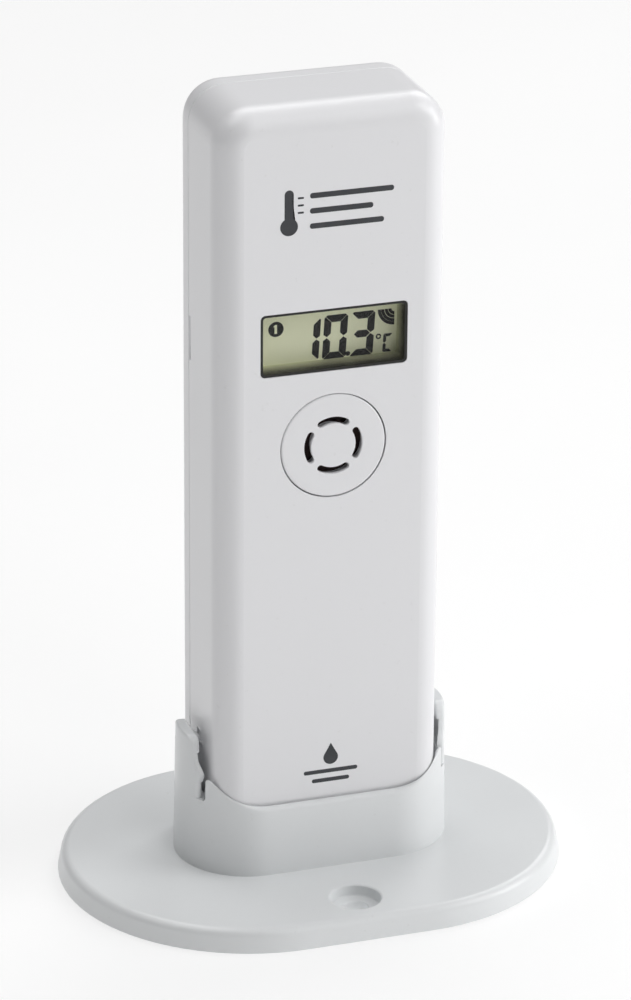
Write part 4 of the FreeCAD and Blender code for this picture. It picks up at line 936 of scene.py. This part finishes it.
def make_screws(name, node, head, tall, shank, long, places):
    """Pan head screws with ridged shanks and a cross recess; each place is the seat of a head."""
    core = shank * 0.8
    profile = [(shank * 0.25, -long), (core, 0.5 - long)]
    pitch = 0.5
    for index in range(int((long - 1.0) / pitch)):
        z = 0.55 - long + index * pitch
        profile += [(core, z), (shank, z + pitch * 0.3), (shank, z + pitch * 0.42), (core, z + pitch * 0.72)]
    profile += [(core, -0.2), (core, 0.0), (head * 0.97, 0.0), (head, 0.06), (head, tall * 0.4)]
    for index in range(1, 7):
        angle = math.pi / 2 * index / 7
        profile.append((head * (0.45 + 0.55 * math.cos(angle)), tall * (0.4 + 0.6 * math.sin(angle))))
    profile.append((head * 0.4, tall))
    shape = Shape()
    shape.spin(profile, 40, facing_back)
    screw = shape.make("screw")
    far, near = head * 0.62, 0.28
    quarter = [(near, far), (-near, far), (-near, near)]
    cross = []
    for across, up in ((1, 0), (0, 1), (-1, 0), (0, -1)):
        cross += [(x * across - y * up, x * up + y * across) for x, y in quarter]
    cutter = Shape()
    cutter.loft([[facing_back(x, y, z) for x, y in inset(cross, away)]
                 for away, z in ((0.12, tall * 0.48), (0.0, tall * 0.9), (-0.05, tall + 0.5))])
    combine(screw, cutter.make("cutter"))
    screws = copies(name, screw, places)
    dress(screws, STEEL, "screw_steel", "transmitter", node)


CELL_X, CELL_Y = 7.45, 1.0


def make_springs():
    """Two coils, each closed flat at both ends."""
    turns, radius, rise, wire, count = 4.6, 3.2, 2.7, 0.28, 170
    shapes = Shape()
    for x, low in ((-CELL_X, 16.45), (CELL_X, 67.05)):
        path = []
        for index in range(count + 1):
            share = index / count
            angle = 2 * math.pi * turns * share
            climb = min(max((share - 0.08) / 0.84, 0), 1)
            path.append((x + radius * math.cos(angle), CELL_Y + radius * math.sin(angle), low + rise * climb))
        shapes.tube(path, wire, 10)
    dress(shapes.make("battery_coils"), NICKEL, "contact_metal", "transmitter", "battery_springs")


def make_antenna():
    """A bent wire with rounded corners."""
    foot, depth, reach, low, high, bend = -0.9, 3.5, 13.0, 97.0, 121.0, 1.2
    corners = [(reach, foot, low), (reach, depth, low), (reach, depth, high),
               (-reach, depth, high), (-reach, depth, low)]
    path = [corners[0]]
    for before, here, after in zip(corners, corners[1:], corners[2:]):
        start = Vector(here) + (Vector(before) - Vector(here)).normalized() * bend
        stop = Vector(here) + (Vector(after) - Vector(here)).normalized() * bend
        path += corner_blend(tuple(start), Vector(here), tuple(stop), 7)
    path.append(corners[-1])
    shape = Shape()
    shape.tube(path, 0.48, 14)
    dress(shape.make("antenna_wire"), COPPER, "copper_wire", "transmitter", "antenna")


CELL_LONG = 50.5
CELL_CAN = [(3.6, 0.0), (3.8, 0.12), (6.2, 0.12), (6.75, 0.3), (6.98, 0.7), (6.98, 48.8), (6.75, 49.3),
            (6.2, 49.5), (3.4, 49.42), (2.9, 49.4), (2.7, 49.5), (2.68, 50.25), (2.5, 50.45),
            (2.2, CELL_LONG)]
CELL_SLEEVE = [(6.95, 0.3), (6.7, 0.22), (6.72, 0.12), (6.98, 0.24), (7.1, 0.6), (7.1, 48.95), (6.98, 49.3),
               (6.5, 49.48), (6.48, 49.4), (6.9, 49.2)]
CELL_BAND = [(7.05, 38.0), (7.1, 37.9), (7.115, 38.0), (7.115, 46.5), (7.1, 46.6), (7.05, 46.5)]


def make_cell(name, x, foot, up):
    """A battery: a metal can with its button, a printed sleeve, a band and plain plus and minus marks."""
    def to(u, v, z):
        return (x + u, CELL_Y + v, foot + (z if up else CELL_LONG - z))

    can = Shape()
    can.spin(CELL_CAN, 56, to)
    dress(can.make(name + "_can"), NICKEL, "cell", "transmitter", name)
    for part, section, material in (("_sleeve", CELL_SLEEVE, CELL), ("_band", CELL_BAND, COPPER)):
        ring = Shape()
        rings = [[to(px, py, z) for px, py in circle_outline(radius, 64)] for radius, z in section]
        ring.loft(rings, around=True)
        dress(ring.make(name + part), material, "cell", "transmitter")
    minus = rounded_rectangle(1.5, 0.35, 0.1, 3, (0, 5.0))
    plus = [rounded_rectangle(1.5, 0.35, 0.1, 3, (0, 33.0)), rounded_rectangle(0.35, 1.5, 0.1, 3, (0, 33.0))]
    marks = Shape()
    for outline in plus + [minus]:
        marks.extrude(outline, 6.8, 7.13, 0, 0, lambda u, v, z: to(u, z, v))
    dress(marks.make(name + "_signs"), MARK, "cell", "transmitter")


BUTTON_Z = 78.5


def make_button():
    """The push button: a stem with a domed end and a flange."""
    profile = [(1.2, 2.2), (1.5, 2.24), (1.7, 2.45), (1.7, 3.6), (2.5, 3.6), (2.6, 3.7), (2.6, 4.2),
               (2.5, 4.3), (1.78, 4.3), (1.7, 4.38), (1.7, 6.4), (1.6, 6.68), (1.35, 6.84), (1.0, 6.9)]
    shape = Shape()
    shape.spin(profile, 48, lambda x, y, z: (x, z, y + BUTTON_Z))
    dress(shape.make("button_moulding"), BUTTON, "button_plastic", "button", "button")


make_display()
make_vent()
make_marks()
make_cover()
make_screws("case_screw_set", "case_screws", 2.3, 1.7, 1.15, 9.0,
            [(x, 7.9, z) for x, z in ((-11, 12.2), (11, 12.2), (-13.2, 126.5), (13.2, 126.5))])
make_screws("board_screw_set", "board_screws", 1.7, 1.2, 0.9, 6.0,
            [(x, -0.9, z) for x in (-12.8, 12.8) for z in (84.3, 119.6)])
make_springs()
make_antenna()
make_cell("battery_left", -CELL_X, 19.6, True)
make_cell("battery_right", CELL_X, 16.1, False)
make_button()


# ---------------------------------------------------------------- floor, lights, camera

FLOOR_HALF = 3.0


def make_floor():
    """A pale ground, on the stage only."""
    mesh = bpy.data.meshes.new("floor")
    corners = [(-FLOOR_HALF, -FLOOR_HALF, 0), (FLOOR_HALF, -FLOOR_HALF, 0),
               (FLOOR_HALF, FLOOR_HALF, 0), (-FLOOR_HALF, FLOOR_HALF, 0)]
    mesh.from_pydata(corners, [], [(0, 1, 2, 3)])
    floor = bpy.data.objects.new("floor", mesh)
    scene.collection.objects.link(floor)
    m = Material("pale_floor", 0.8, Emission_Color=(1, 1, 1, 1), Emission_Strength=0.5)
    m.colour(m.ramp(m.noise(6, 3), (0.3, 0.49), (0.7, 0.51)))
    mesh.materials.append(m.material)


def look_at(thing, place, target, roll=0.0):
    """Puts the thing at a place and turns its -Z axis to the target."""
    back = (Vector(place) - Vector(target)).normalized()
    right = Vector((-back.y, back.x, 0)).normalized()
    up = back.cross(right)
    across = math.cos(roll) * right + math.sin(roll) * up
    upward = -math.sin(roll) * right + math.cos(roll) * up
    matrix = Matrix((across, upward, back)).transposed().to_4x4()
    matrix.translation = place
    thing.matrix_world = matrix


def make_light(name, place, target, wide, tall, power):
    """A white area light."""
    light = bpy.data.lights.new(name, "AREA")
    light.shape = "RECTANGLE"
    light.size = wide
    light.size_y = tall
    light.energy = power
    thing = bpy.data.objects.new(name, light)
    scene.collection.objects.link(thing)
    look_at(thing, place, target)


CAMERA_PLACE = (-0.22865, -0.67798, 0.36760)
CAMERA_TARGET = (0.000611, 0, 0.064177)
CAMERA_ROLL = math.radians(0.427)


def make_camera():
    """The camera, in front of the part, to its left and above it."""
    camera = bpy.data.cameras.new("camera")
    camera.sensor_width = 36
    camera.lens = 173.115
    camera.clip_start = 0.01
    thing = bpy.data.objects.new("camera", camera)
    scene.collection.objects.link(thing)
    look_at(thing, CAMERA_PLACE, CAMERA_TARGET, CAMERA_ROLL)
    scene.camera = thing


LIGHT_DISTANCE = 1.2
SOFTBOXES = [
    # name, degrees round from the front towards the right, degrees up, width, height, watts
    ("key_right", 75, 14, 0.5, 0.7, 4.75),
    ("key_high_right", 60, 40, 0.5, 0.7, 2.4),
    ("right_low", 60, 14, 0.5, 0.7, 0.83),
    ("front_right_high", 45, 40, 0.5, 0.7, 0.86),
    ("front_high", 15, 40, 0.5, 0.7, 1.3),
    ("front_low", 15, 14, 0.5, 0.7, 0.75),
    ("top_front", 0, 66, 0.7, 0.7, 1.1),
    ("top_left", -90, 66, 0.7, 0.7, 3.6),
    ("top_back", 180, 66, 0.7, 0.7, 5.1),
    ("back_right", 135, 40, 0.5, 0.7, 2.75),
]
LIGHT_TARGET = Vector((0, 0, 0.065))


def light_scene():
    """A dark world and the soft boxes around the part."""
    world = bpy.data.worlds.new("studio")
    scene.world = world
    world.use_nodes = True
    background = world.node_tree.nodes["Background"]
    background.inputs["Color"].default_value = (1, 1, 1, 1)
    background.inputs["Strength"].default_value = 0.0
    for name, turn, rise, wide, tall, power in SOFTBOXES:
        turn, rise = math.radians(turn), math.radians(rise)
        away = Vector((math.sin(turn) * math.cos(rise), -math.cos(turn) * math.cos(rise), math.sin(rise)))
        make_light(name, LIGHT_TARGET + away * LIGHT_DISTANCE, LIGHT_TARGET, wide, tall, power)


make_floor()
make_camera()
light_scene()
scene.view_settings.view_transform = "Standard"
